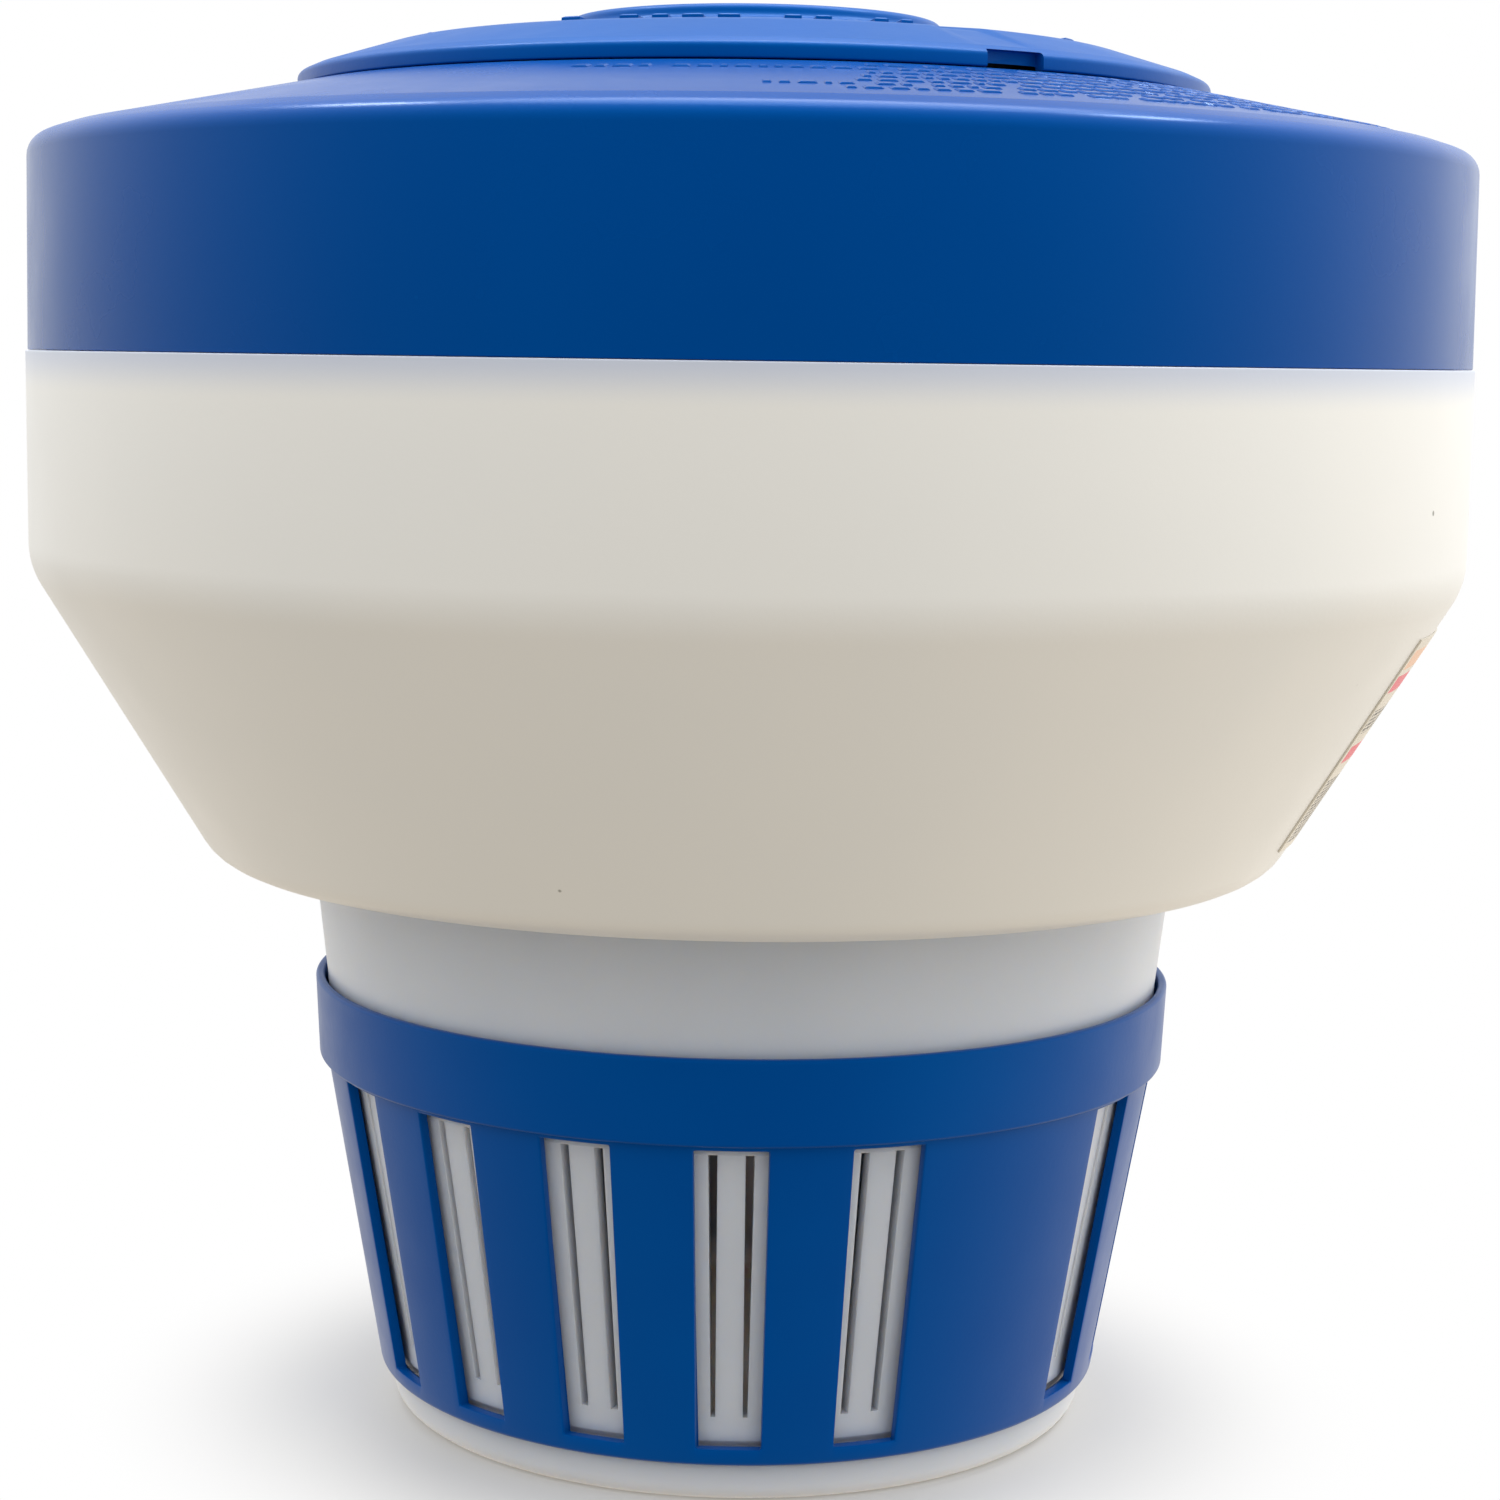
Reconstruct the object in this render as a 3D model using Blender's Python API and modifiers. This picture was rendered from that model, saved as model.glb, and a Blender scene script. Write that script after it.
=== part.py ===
"""Floating chlorine dispenser for a pool or spa.

A hollow float carries a long tablet canister.  Water reaches the tablets through slots in the
canister's tapered lower end, and a windowed ring that turns around it uncovers or covers the
slots.  A domed lid with a quick thread closes the mouth in the float's top cover.

Metres, +Z up.  The origin is the centre of the canister's underside.  A bearing is an angle
about Z, measured from the front (-Y) towards +X.
"""

import math

import bmesh
import bpy
from mathutils import Matrix, Vector

MM = 0.001
NAME = "floating_chlorine_dispenser"

# Overall radii
FLOAT_RADIUS = 100.0 * MM
MOUTH_RADIUS = 54.5 * MM  # the round opening that tablets pass through

# Heights, stacked from the underside upwards
FOOT_HEIGHT = 5.0 * MM
SKIRT_HEIGHT = 44.1 * MM  # tapered, windowed part of the flow ring
COLLAR_HEIGHT = 11.5 * MM  # plain upper band of the flow ring
NECK_HEIGHT = 17.0 * MM  # canister seen between the ring and the float
CONE_HEIGHT = 41.1 * MM
BAND_HEIGHT = 28.9 * MM
COVER_SKIRT_HEIGHT = 29.6 * MM
COVER_RISE = 6.4 * MM  # slope of the cover from its shoulder to the lid
LID_RISE = 8.9 * MM  # dome, from the lid's rim to the raised disc
DISC_RISE = 2.0 * MM

# Walls and clearances
FLOAT_WALL = 2.2 * MM
WELL_WALL = 2.0 * MM
COVER_WALL = 2.2 * MM
MOUTH_WALL = 3.0 * MM
CANISTER_WALL = 1.8 * MM
CANISTER_FLOOR = 2.6 * MM
RING_WALL = 2.2 * MM
COLLAR_WALL = 1.2 * MM
LID_WALL = 1.9 * MM
GAP = 0.3 * MM  # between pieces that touch
RUNNING_GAP = 0.5 * MM  # around and under the turning ring
WELL_GAP = 0.8 * MM  # between the canister and the float's well

# Float
CONE_FOOT = 13.4 * MM  # underside, from the canister to the cone
RIM_STEP = 0.3 * MM  # the float's rim stands out past the cover
LIP_HEIGHT = 4.0 * MM
LIP_WALL = 1.8 * MM
CONE_TOP_FILLET = 10.0 * MM
CONE_FOOT_FILLET = 6.5 * MM

# Top cover
SHOULDER_WIDTH = 4.5 * MM
SHOULDER_DROP = 1.5 * MM  # the skirt's straight outside ends this far below the shoulder
SHOULDER_FILLET = 6.0 * MM
SEAT_WIDTH = 10.2 * MM  # flat ledge under the lid's rim
MOUTH_DEPTH = 12.4 * MM
EDGE_FILLET = 0.5 * MM  # at the outer edges of every shell

# Canister
TUBE_GAP = 6.6 * MM  # canister's outside beyond the mouth radius
NECK_TAPER = 2.0 * MM  # narrowing from the float's underside to the ring's top
COLLAR_TAPER = 0.6 * MM  # narrowing behind the collar
SHOULDER_STEP = 2.1 * MM
SKIRT_TAPER = math.radians(10.0)
FOOT_BEAD = 0.9 * MM  # the foot stands out past the tapered wall and holds the ring up
FOOT_FILLET = 2.6 * MM
FLOOR_FILLET = 1.5 * MM
FLANGE_WIDTH = 4.2 * MM
FLANGE_THICKNESS = 1.8 * MM
SEAL_THICKNESS = 1.5 * MM

# Flow ring
RING_FILLET = 0.8 * MM  # along the bottom edge
COLLAR_CREASE = 0.2 * MM  # the collar's lower edge stands this far above the skirt

# Slots and windows share one pitch
POSITIONS = 18
BLANKS = (2, 8, 14)  # positions with no window
WINDOW_ARC = math.radians(9.9)
WINDOW_SILL = 3.4 * MM
WINDOW_HEAD = 0.8 * MM
SLOT_OFFSET = math.radians(2.5)  # each side of the window's middle
SLOT_ARC = math.radians(1.2)
SLOT_SILL = 3.4 * MM  # above the window's sill

# Lid
LID_OVERHANG = 9.1 * MM  # rim beyond the mouth radius
LID_RIM_HEIGHT = 1.9 * MM
LID_RIM_WALL = 1.7 * MM
BROW_WIDTH = 2.0 * MM  # steep edge of the dome, inwards from the rim
BROW_RISE = 0.9 * MM
KNEE_WIDTH = 12.5 * MM  # from the rim to where the dome flattens
KNEE_RISE = 4.2 * MM
DOME_FILLET = 12.0 * MM
RIM_FILLET = 1.0 * MM
DISC_FILLET = 0.8 * MM
DISC_RADIUS = 26.0 * MM
PLUG_GAP = 2.3 * MM
PLUG_DEPTH = 16.2 * MM
PLUG_WALL = 2.0 * MM
GASKET_WIDTH = 3.4 * MM
GASKET_THICKNESS = 1.6 * MM
NOTCH_BEARING = math.radians(33.0)
NOTCH_WIDTH = 9.0 * MM
NOTCH_HEIGHT = 2.2 * MM

# Quick thread between the lid and the mouth
STARTS = 4
THREAD_LEAD = 72.0 * MM  # rise of the lid in one turn
THREAD_DEPTH = 1.7 * MM
THREAD_THICKNESS = 2.0 * MM
THREAD_GAP = 0.4 * MM
THREAD_ROOT = 1.0 * MM  # how far a rib or lug is let into its wall
LUG_ARC = math.radians(12.0)
THREAD_BEARING = math.radians(1.25)

# Label on the cone
LABEL_BEARING = math.radians(92.0)
LABEL_ARC = math.radians(42.0)
LABEL_MARGIN = 7.0 * MM  # bare cone above and below it
LABEL_THICKNESS = 0.3 * MM

SEGMENTS = 54  # around every turned piece, a multiple of POSITIONS
FILLET_STEPS = 2
CUTTER_REACH = 10.0 * MM  # a cutter goes on past the wall that it cuts

# Levels and radii worked out from the above
RING_LOW = FOOT_HEIGHT + RUNNING_GAP
SKIRT_TOP = RING_LOW + SKIRT_HEIGHT
COLLAR_TOP = SKIRT_TOP + COLLAR_HEIGHT
UNDERSIDE = COLLAR_TOP + NECK_HEIGHT
CONE_TOP = UNDERSIDE + CONE_HEIGHT
SEAM = CONE_TOP + BAND_HEIGHT
SHOULDER = SEAM + COVER_SKIRT_HEIGHT
SEAT = SHOULDER + COVER_RISE
LID_LOW = SEAT + GAP
MOUTH_LOW = SEAT - MOUTH_DEPTH
FLANGE_TOP = MOUTH_LOW - GAP
WELL_TOP = FLANGE_TOP - FLANGE_THICKNESS - SEAL_THICKNESS - 2 * GAP
LID_INSIDE = SEAT + GASKET_THICKNESS + 2 * GAP
DISC_LOW = LID_LOW + LID_RISE

TUBE_RADIUS = MOUTH_RADIUS + TUBE_GAP
NECK_RADIUS = TUBE_RADIUS - NECK_TAPER
COLLAR_FOOT_RADIUS = NECK_RADIUS - COLLAR_TAPER
SKIRT_TOP_RADIUS = COLLAR_FOOT_RADIUS - SHOULDER_STEP
SKIRT_LOW_RADIUS = SKIRT_TOP_RADIUS - (SKIRT_TOP - FOOT_HEIGHT) * math.tan(SKIRT_TAPER)
FOOT_RADIUS = SKIRT_LOW_RADIUS + FOOT_BEAD
FLANGE_RADIUS = TUBE_RADIUS + FLANGE_WIDTH
WELL_RADIUS = TUBE_RADIUS + WELL_GAP
CONE_FOOT_RADIUS = TUBE_RADIUS + CONE_FOOT
LID_RADIUS = MOUTH_RADIUS + LID_OVERHANG
SEAT_RADIUS = MOUTH_RADIUS + SEAT_WIDTH
PLUG_RADIUS = MOUTH_RADIUS - PLUG_GAP
GASKET_RADIUS = MOUTH_RADIUS - GAP + GASKET_WIDTH
PITCH = math.tau / POSITIONS
WINDOWS = [i * PITCH for i in range(POSITIONS) if i not in BLANKS]


def clear_scene():
    for old in list(bpy.data.objects):
        bpy.data.objects.remove(old)


def collection(name):
    made = bpy.data.collections.new(name)
    bpy.context.scene.collection.children.link(made)
    return made


def plastic(name, colour, roughness):
    """A moulded material: its Principled colour, roughness and no metal."""
    material = bpy.data.materials.new(name)
    material.use_nodes = True
    shader = material.node_tree.nodes["Principled BSDF"]
    shader.inputs["Base Color"].default_value = (*colour, 1.0)
    shader.inputs["Roughness"].default_value = roughness
    shader.inputs["Metallic"].default_value = 0.0
    material.diffuse_color = (*colour, 1.0)
    return material


def rounded(corners, closed=True):
    """Points of an outline given as (radius, height, fillet) corners."""
    points = []
    last = len(corners) - 1
    for i, (radius, height, fillet) in enumerate(corners):
        here = Vector((radius, height))
        if not fillet or (not closed and i in (0, last)):
            points.append(here)
            continue
        back = Vector(corners[i - 1][:2]) - here
        ahead = Vector(corners[(i + 1) % len(corners)][:2]) - here
        half = back.angle(ahead) / 2
        reach = min(fillet / math.tan(half), 0.45 * back.length, 0.45 * ahead.length)
        size = reach * math.tan(half)
        middle = (back.normalized() + ahead.normalized()).normalized()
        centre = here + middle * size / math.sin(half)
        start = here + back.normalized() * reach - centre
        sweep = start.angle_signed(here + ahead.normalized() * reach - centre)
        for step in range(FILLET_STEPS + 1):
            turn = Matrix.Rotation(-sweep * step / FILLET_STEPS, 2)
            points.append(centre + turn @ start)
    return points


def turned(name, corners, material, into, closed=True):
    """A body of revolution about Z.  Its outline runs down the outside and up the inside."""
    shape = bmesh.new()
    points = [shape.verts.new((p.x, 0, p.y)) for p in rounded(corners, closed)]
    for first, second in zip(points, points[1:]):
        shape.edges.new((first, second))
    if closed:
        shape.edges.new((points[-1], points[0]))
    mesh = bpy.data.meshes.new(name)
    shape.to_mesh(mesh)
    shape.free()
    piece = bpy.data.objects.new(name, mesh)
    into.objects.link(piece)
    screw = piece.modifiers.new("Turn", "SCREW")
    screw.steps = screw.render_steps = SEGMENTS
    screw.use_merge_vertices = True
    screw.merge_threshold = 0.01 * MM
    screw.use_smooth_shade = True
    mesh.materials.append(material)
    return piece


def finished(name, shape, into, material=None):
    """An object from a bmesh, with its faces turned outwards."""
    shape.normal_update()
    bmesh.ops.recalc_face_normals(shape, faces=shape.faces)
    mesh = bpy.data.meshes.new(name)
    shape.to_mesh(mesh)
    shape.free()
    piece = bpy.data.objects.new(name, mesh)
    into.objects.link(piece)
    if material:
        mesh.materials.append(material)
    else:
        piece.hide_render = True
        piece.display_type = "WIRE"
    return piece


def at_bearing(bearing, radius, height):
    return Vector((radius * math.sin(bearing), -radius * math.cos(bearing), height))


def add_wedge(shape, bearing, arc, inner, outer, low, high):
    """A block between two radii and two heights whose sides point at the axis."""
    for vert in bmesh.ops.create_cube(shape)["verts"]:
        side = bearing + math.copysign(arc / 2, vert.co.x)
        radius = outer if vert.co.y > 0 else inner
        vert.co = at_bearing(side, radius, high if vert.co.z > 0 else low)


def wedges(name, into, bearings, arc, inner, outer, low, high):
    shape = bmesh.new()
    for bearing in bearings:
        add_wedge(shape, bearing, arc, inner, outer, low, high)
    return finished(name, shape, into)


def sweep_section(shape, section, bearing, arc, rise, steps):
    """Carry a (radius, height) section round the axis, climbing as it goes."""
    verts = [shape.verts.new(at_bearing(bearing, *point)) for point in section]
    face = shape.faces.new(verts)
    bmesh.ops.spin(
        shape,
        geom=[face, *face.edges, *face.verts],
        cent=(0, 0, 0),
        axis=(0, 0, 1),
        dvec=(0, 0, rise / steps),
        angle=arc,
        steps=steps,
    )


def helical_blocks(name, into, inner, outer, height, arc):
    """One block for each thread start, centred on height where it begins."""
    shape = bmesh.new()
    low, high = height - THREAD_THICKNESS / 2, height + THREAD_THICKNESS / 2
    section = [(inner, low), (outer, low), (outer, high), (inner, high)]
    steps = max(2, round(arc / (math.tau / SEGMENTS)))
    for start in range(STARTS):
        turn = THREAD_BEARING + start * math.tau / STARTS
        sweep_section(shape, section, turn, arc, THREAD_LEAD * arc / math.tau, steps)
    return finished(name, shape, into)


def combine(piece, other, operation):
    boolean = piece.modifiers.new(other.name, "BOOLEAN")
    boolean.operation = operation
    boolean.solver = "EXACT"
    boolean.object = other


def make_float_shell(parts, material):
    outside = FLOAT_RADIUS + RIM_STEP
    inside = FLOAT_RADIUS - FLOAT_WALL
    lip = inside - GAP
    well = WELL_RADIUS + WELL_WALL
    cone_angle = math.atan2(FLOAT_RADIUS - CONE_FOOT_RADIUS, CONE_HEIGHT)
    cone_wall = FLOAT_WALL / math.cos(cone_angle)
    floor = UNDERSIDE + FLOAT_WALL
    inner_foot = CONE_FOOT_RADIUS - cone_wall + FLOAT_WALL * math.tan(cone_angle)
    corners = [
        (outside, SEAM - GAP / 2, EDGE_FILLET),
        (FLOAT_RADIUS, CONE_TOP, CONE_TOP_FILLET),
        (CONE_FOOT_RADIUS, UNDERSIDE, CONE_FOOT_FILLET),
        (WELL_RADIUS, UNDERSIDE, 0),
        (WELL_RADIUS, WELL_TOP, 0),
        (well, WELL_TOP, 0),
        (well, floor, 0),
        (inner_foot, floor, 0),
        (inside, CONE_TOP + FLOAT_WALL * math.tan(cone_angle / 2), 0),
        (inside, SEAM - LIP_HEIGHT - LIP_WALL, 0),
        (lip - LIP_WALL, SEAM - LIP_HEIGHT, 0),
        (lip - LIP_WALL, SEAM + LIP_HEIGHT, 0),
        (lip, SEAM + LIP_HEIGHT, 0),
        (lip, SEAM - GAP / 2, 0),
    ]
    return turned("float_shell", corners, material, parts)


def make_top_cover(parts, cutters, material):
    inside = FLOAT_RADIUS - COVER_WALL
    mouth = MOUTH_RADIUS + MOUTH_WALL
    roof = SEAT - COVER_WALL
    shoulder = FLOAT_RADIUS - SHOULDER_WIDTH
    skirt_top = SHOULDER - SHOULDER_DROP
    corners = [
        (FLOAT_RADIUS, skirt_top, SHOULDER_FILLET),
        (FLOAT_RADIUS, SEAM + GAP / 2, EDGE_FILLET),
        (inside, SEAM + GAP / 2, 0),
        (inside, skirt_top - COVER_WALL, SHOULDER_FILLET - COVER_WALL),
        (shoulder, SHOULDER - COVER_WALL, 0),
        (SEAT_RADIUS, roof, 0),
        (mouth, roof, 0),
        (mouth, MOUTH_LOW + COVER_WALL, 0),
        (FLANGE_RADIUS, MOUTH_LOW + COVER_WALL, 0),
        (FLANGE_RADIUS, MOUTH_LOW, 0),
        (MOUTH_RADIUS, MOUTH_LOW, 0),
        (MOUTH_RADIUS, SEAT, EDGE_FILLET),
        (SEAT_RADIUS, SEAT, 0),
        (shoulder, SHOULDER, SHOULDER_FILLET),
    ]
    cover = turned("top_cover", corners, material, parts)
    root = MOUTH_RADIUS + THREAD_ROOT
    start = MOUTH_LOW + 1.5 * THREAD_THICKNESS
    climb = SEAT - 1.5 * THREAD_THICKNESS - start
    arc = climb * math.tau / THREAD_LEAD
    ribs = helical_blocks("mouth_ribs", cutters, MOUTH_RADIUS - THREAD_DEPTH, root, start, arc)
    combine(cover, ribs, "UNION")
    return cover


def make_lid(parts, cutters, material):
    rim_inside = LID_RADIUS - LID_RIM_WALL
    rim_top = LID_LOW + LID_RIM_HEIGHT
    plug_inside = PLUG_RADIUS - PLUG_WALL
    plug_low = LID_INSIDE - PLUG_DEPTH
    disc_top = DISC_LOW + DISC_RISE
    under_disc = DISC_LOW - LID_WALL
    corners = [
        (0, disc_top, 0),
        (DISC_RADIUS, disc_top, DISC_FILLET),
        (DISC_RADIUS, DISC_LOW, 0),
        (LID_RADIUS - KNEE_WIDTH, rim_top + KNEE_RISE, DOME_FILLET),
        (LID_RADIUS - BROW_WIDTH, rim_top + BROW_RISE, RIM_FILLET),
        (LID_RADIUS, rim_top, RIM_FILLET),
        (LID_RADIUS, LID_LOW, 0),
        (rim_inside, LID_LOW, 0),
        (rim_inside, LID_LOW + EDGE_FILLET, 0),
        (GASKET_RADIUS + RUNNING_GAP, LID_INSIDE, 0),
        (PLUG_RADIUS, LID_INSIDE, 0),
        (PLUG_RADIUS, plug_low, EDGE_FILLET),
        (plug_inside, plug_low, 0),
        (plug_inside, LID_INSIDE, 0),
        (DISC_RADIUS, under_disc, 0),
        (0, under_disc, 0),
    ]
    lid = turned("lid", corners, material, parts, closed=False)
    height = MOUTH_LOW + 0.5 * THREAD_THICKNESS - THREAD_GAP
    root = PLUG_RADIUS - THREAD_ROOT
    lugs = helical_blocks("lid_lugs", cutters, root, PLUG_RADIUS + THREAD_DEPTH, height, LUG_ARC)
    combine(lid, lugs, "UNION")
    shape = bmesh.new()
    arc = NOTCH_WIDTH / LID_RADIUS
    inner, outer = rim_inside - BROW_RISE, LID_RADIUS + CUTTER_REACH
    low, high = LID_LOW - CUTTER_REACH, LID_LOW + NOTCH_HEIGHT
    add_wedge(shape, NOTCH_BEARING, arc, inner, outer, low, high)
    combine(lid, finished("lid_notch", shape, cutters), "DIFFERENCE")
    return lid


def ring_section(name, parts, material, inner, width, low, height):
    """A flat seal: a turned rectangle."""
    corners = [
        (inner + width, low + height, 0),
        (inner + width, low, 0),
        (inner, low, 0),
        (inner, low + height, 0),
    ]
    return turned(name, corners, material, parts)


def make_canister(parts, cutters, material):
    inside = CANISTER_WALL
    floor_radius = SKIRT_LOW_RADIUS - inside
    corners = [
        (FLANGE_RADIUS, FLANGE_TOP, 0),
        (FLANGE_RADIUS, FLANGE_TOP - FLANGE_THICKNESS, 0),
        (TUBE_RADIUS, FLANGE_TOP - FLANGE_THICKNESS, 0),
        (TUBE_RADIUS, UNDERSIDE, 0),
        (NECK_RADIUS, COLLAR_TOP, 0),
        (COLLAR_FOOT_RADIUS, SKIRT_TOP + RUNNING_GAP, EDGE_FILLET),
        (SKIRT_TOP_RADIUS, SKIRT_TOP - RUNNING_GAP, 0),
        (SKIRT_LOW_RADIUS, FOOT_HEIGHT, 0),
        (FOOT_RADIUS, FOOT_HEIGHT, EDGE_FILLET / 2),
        (FOOT_RADIUS, 0, FOOT_FILLET),
        (0, 0, 0),
        (0, CANISTER_FLOOR, 0),
        (floor_radius, CANISTER_FLOOR, FLOOR_FILLET),
        (SKIRT_TOP_RADIUS - inside, SKIRT_TOP - RUNNING_GAP, 0),
        (NECK_RADIUS - inside, COLLAR_TOP, 0),
        (TUBE_RADIUS - inside, UNDERSIDE, 0),
        (TUBE_RADIUS - inside, FLANGE_TOP, 0),
    ]
    first = corners.index((0, 0, 0))
    outline = corners[first + 1 :] + corners[: first + 1]
    canister = turned("canister", outline, material, parts, closed=False)
    bearings = [w + side * SLOT_OFFSET for w in WINDOWS for side in (-1, 1)]
    low = RING_LOW + WINDOW_SILL + SLOT_SILL
    high = SKIRT_TOP - 2 * RUNNING_GAP
    inner, outer = floor_radius - CUTTER_REACH, SKIRT_TOP_RADIUS + CUTTER_REACH
    slots = wedges("canister_slots", cutters, bearings, SLOT_ARC, inner, outer, low, high)
    combine(canister, slots, "DIFFERENCE")
    return canister


def make_flow_ring(parts, cutters, material):
    skirt_top = SKIRT_TOP_RADIUS + RUNNING_GAP
    skirt_low = skirt_top - SKIRT_HEIGHT * math.tan(SKIRT_TAPER)
    collar_low = COLLAR_FOOT_RADIUS + RUNNING_GAP
    collar_top = NECK_RADIUS + RUNNING_GAP
    corners = [
        (collar_top + COLLAR_WALL, COLLAR_TOP, EDGE_FILLET),
        (collar_low + COLLAR_WALL, SKIRT_TOP + COLLAR_CREASE, EDGE_FILLET),
        (skirt_top + RING_WALL, SKIRT_TOP, 0),
        (skirt_low + RING_WALL, RING_LOW, RING_FILLET),
        (skirt_low, RING_LOW, 0),
        (skirt_top, SKIRT_TOP - RUNNING_GAP, 0),
        (collar_low, SKIRT_TOP + RUNNING_GAP, 0),
        (collar_top, COLLAR_TOP, 0),
    ]
    ring = turned("flow_ring", corners, material, parts)
    windows = wedges(
        "ring_windows",
        cutters,
        WINDOWS,
        WINDOW_ARC,
        skirt_low - CUTTER_REACH,
        skirt_top + CUTTER_REACH,
        RING_LOW + WINDOW_SILL,
        SKIRT_TOP - WINDOW_HEAD,
    )
    combine(ring, windows, "DIFFERENCE")
    return ring


def make_label(parts, material):
    """A thin printed sheet that follows the cone."""
    slope = Vector((FLOAT_RADIUS - CONE_FOOT_RADIUS, CONE_HEIGHT)).normalized()
    out = Vector((slope.y, -slope.x))
    low = Vector((CONE_FOOT_RADIUS, UNDERSIDE)) + slope * LABEL_MARGIN + out * GAP
    high = Vector((FLOAT_RADIUS, CONE_TOP)) - slope * LABEL_MARGIN + out * GAP
    sheet = out * LABEL_THICKNESS
    section = [low, low + sheet, high + sheet, high]
    shape = bmesh.new()
    steps = round(LABEL_ARC / (math.tau / SEGMENTS)) * 2
    sweep_section(shape, section, LABEL_BEARING - LABEL_ARC / 2, LABEL_ARC, 0, steps)
    return finished("label", shape, parts, material)


def main():
    clear_scene()
    parts, cutters = collection(NAME), collection("cutters")
    cutters.hide_render = True
    shell_white = plastic("float_white", (0.78, 0.77, 0.74), 0.42)
    canister_white = plastic("canister_white", (0.74, 0.75, 0.79), 0.45)
    cover_blue = plastic("cover_blue", (0.004, 0.085, 0.36), 0.38)
    lid_blue = plastic("lid_blue", (0.004, 0.085, 0.36), 0.38)
    ring_blue = plastic("ring_blue", (0.004, 0.075, 0.33), 0.40)
    gasket_rubber = plastic("gasket_rubber", (0.03, 0.03, 0.032), 0.7)
    seal_rubber = plastic("seal_rubber", (0.03, 0.03, 0.032), 0.7)
    label_film = plastic("label_film", (0.7, 0.7, 0.7), 0.3)

    make_float_shell(parts, shell_white)
    make_top_cover(parts, cutters, cover_blue)
    make_lid(parts, cutters, lid_blue)
    ring_section(
        "lid_gasket",
        parts,
        gasket_rubber,
        GASKET_RADIUS - GASKET_WIDTH,
        GASKET_WIDTH,
        SEAT + GAP,
        GASKET_THICKNESS,
    )
    make_canister(parts, cutters, canister_white)
    ring_section(
        "canister_seal",
        parts,
        seal_rubber,
        WELL_RADIUS,
        FLANGE_RADIUS - WELL_RADIUS,
        WELL_TOP + GAP,
        SEAL_THICKNESS,
    )
    make_flow_ring(parts, cutters, ring_blue)
    make_label(parts, label_film)


main()
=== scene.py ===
"""Looks of the floating chlorine dispenser: detailed pieces, finishes, studio and camera.

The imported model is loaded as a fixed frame.  Each moulding is modelled again with finer edges,
lands and marks in the space of its CAD node, and rides on that node's body.  Metres, +Z up.  A
bearing is an angle about Z, measured from the front (-Y) towards +X.
"""

import logging
import math
import random
from collections.abc import Callable, Iterable
from dataclasses import dataclass
from enum import Enum

import bpy
from mathutils import Matrix, Vector

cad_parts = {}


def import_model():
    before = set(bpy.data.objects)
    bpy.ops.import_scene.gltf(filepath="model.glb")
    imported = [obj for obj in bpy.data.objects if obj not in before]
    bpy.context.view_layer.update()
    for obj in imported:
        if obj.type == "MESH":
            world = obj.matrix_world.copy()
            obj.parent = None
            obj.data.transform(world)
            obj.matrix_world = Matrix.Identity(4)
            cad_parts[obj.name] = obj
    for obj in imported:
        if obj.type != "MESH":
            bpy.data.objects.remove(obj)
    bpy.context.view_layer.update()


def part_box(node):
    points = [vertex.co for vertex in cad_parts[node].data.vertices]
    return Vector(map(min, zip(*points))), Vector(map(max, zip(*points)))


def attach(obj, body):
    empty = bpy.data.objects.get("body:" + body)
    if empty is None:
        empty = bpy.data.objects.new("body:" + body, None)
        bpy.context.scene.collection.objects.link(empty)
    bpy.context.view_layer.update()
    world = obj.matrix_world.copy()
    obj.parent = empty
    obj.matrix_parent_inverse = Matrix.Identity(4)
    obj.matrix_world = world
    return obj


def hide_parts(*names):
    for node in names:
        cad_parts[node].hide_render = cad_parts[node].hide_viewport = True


MM = 0.001
TURN = 360  # steps round a turned piece, one to a degree
FILLET_STEPS = 6
SMOOTH_ANGLE = math.radians(32)
DOUBLES = 0.001 * MM  # points closer than this become one
LOG = logging.getLogger("dispenser")

Object = bpy.types.Object
Material = bpy.types.Material
Node = bpy.types.Node
Socket = bpy.types.NodeSocket
Vertex = bpy.types.MeshVertex


# ---------------------------------------------------------------------------- small tools


def at_bearing(bearing: float, radius: float, height: float) -> Vector:
    """The point at a bearing in radians, a radius and a height."""
    return Vector((radius * math.sin(bearing), -radius * math.cos(bearing), height))


def bearing_of(point: Vector) -> float:
    """The bearing of a point in radians, from -pi to pi."""
    return math.atan2(point.x, -point.y)


def offset(bearing: float, other: float) -> float:
    """How far one bearing lies past another, from -pi to pi."""
    return (bearing - other + math.pi) % math.tau - math.pi


def away(bearing: float, other: float) -> float:
    """How far one bearing lies from another, from 0 to pi."""
    return abs(offset(bearing, other))


def radius_of(point: Vector) -> float:
    """Distance of a point from the axis."""
    return math.hypot(point.x, point.y)


@dataclass(frozen=True)
class Corner:
    """A corner of a turned outline: radius, height and fillet, in metres."""

    radius: float
    height: float
    fillet: float = 0.0


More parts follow.
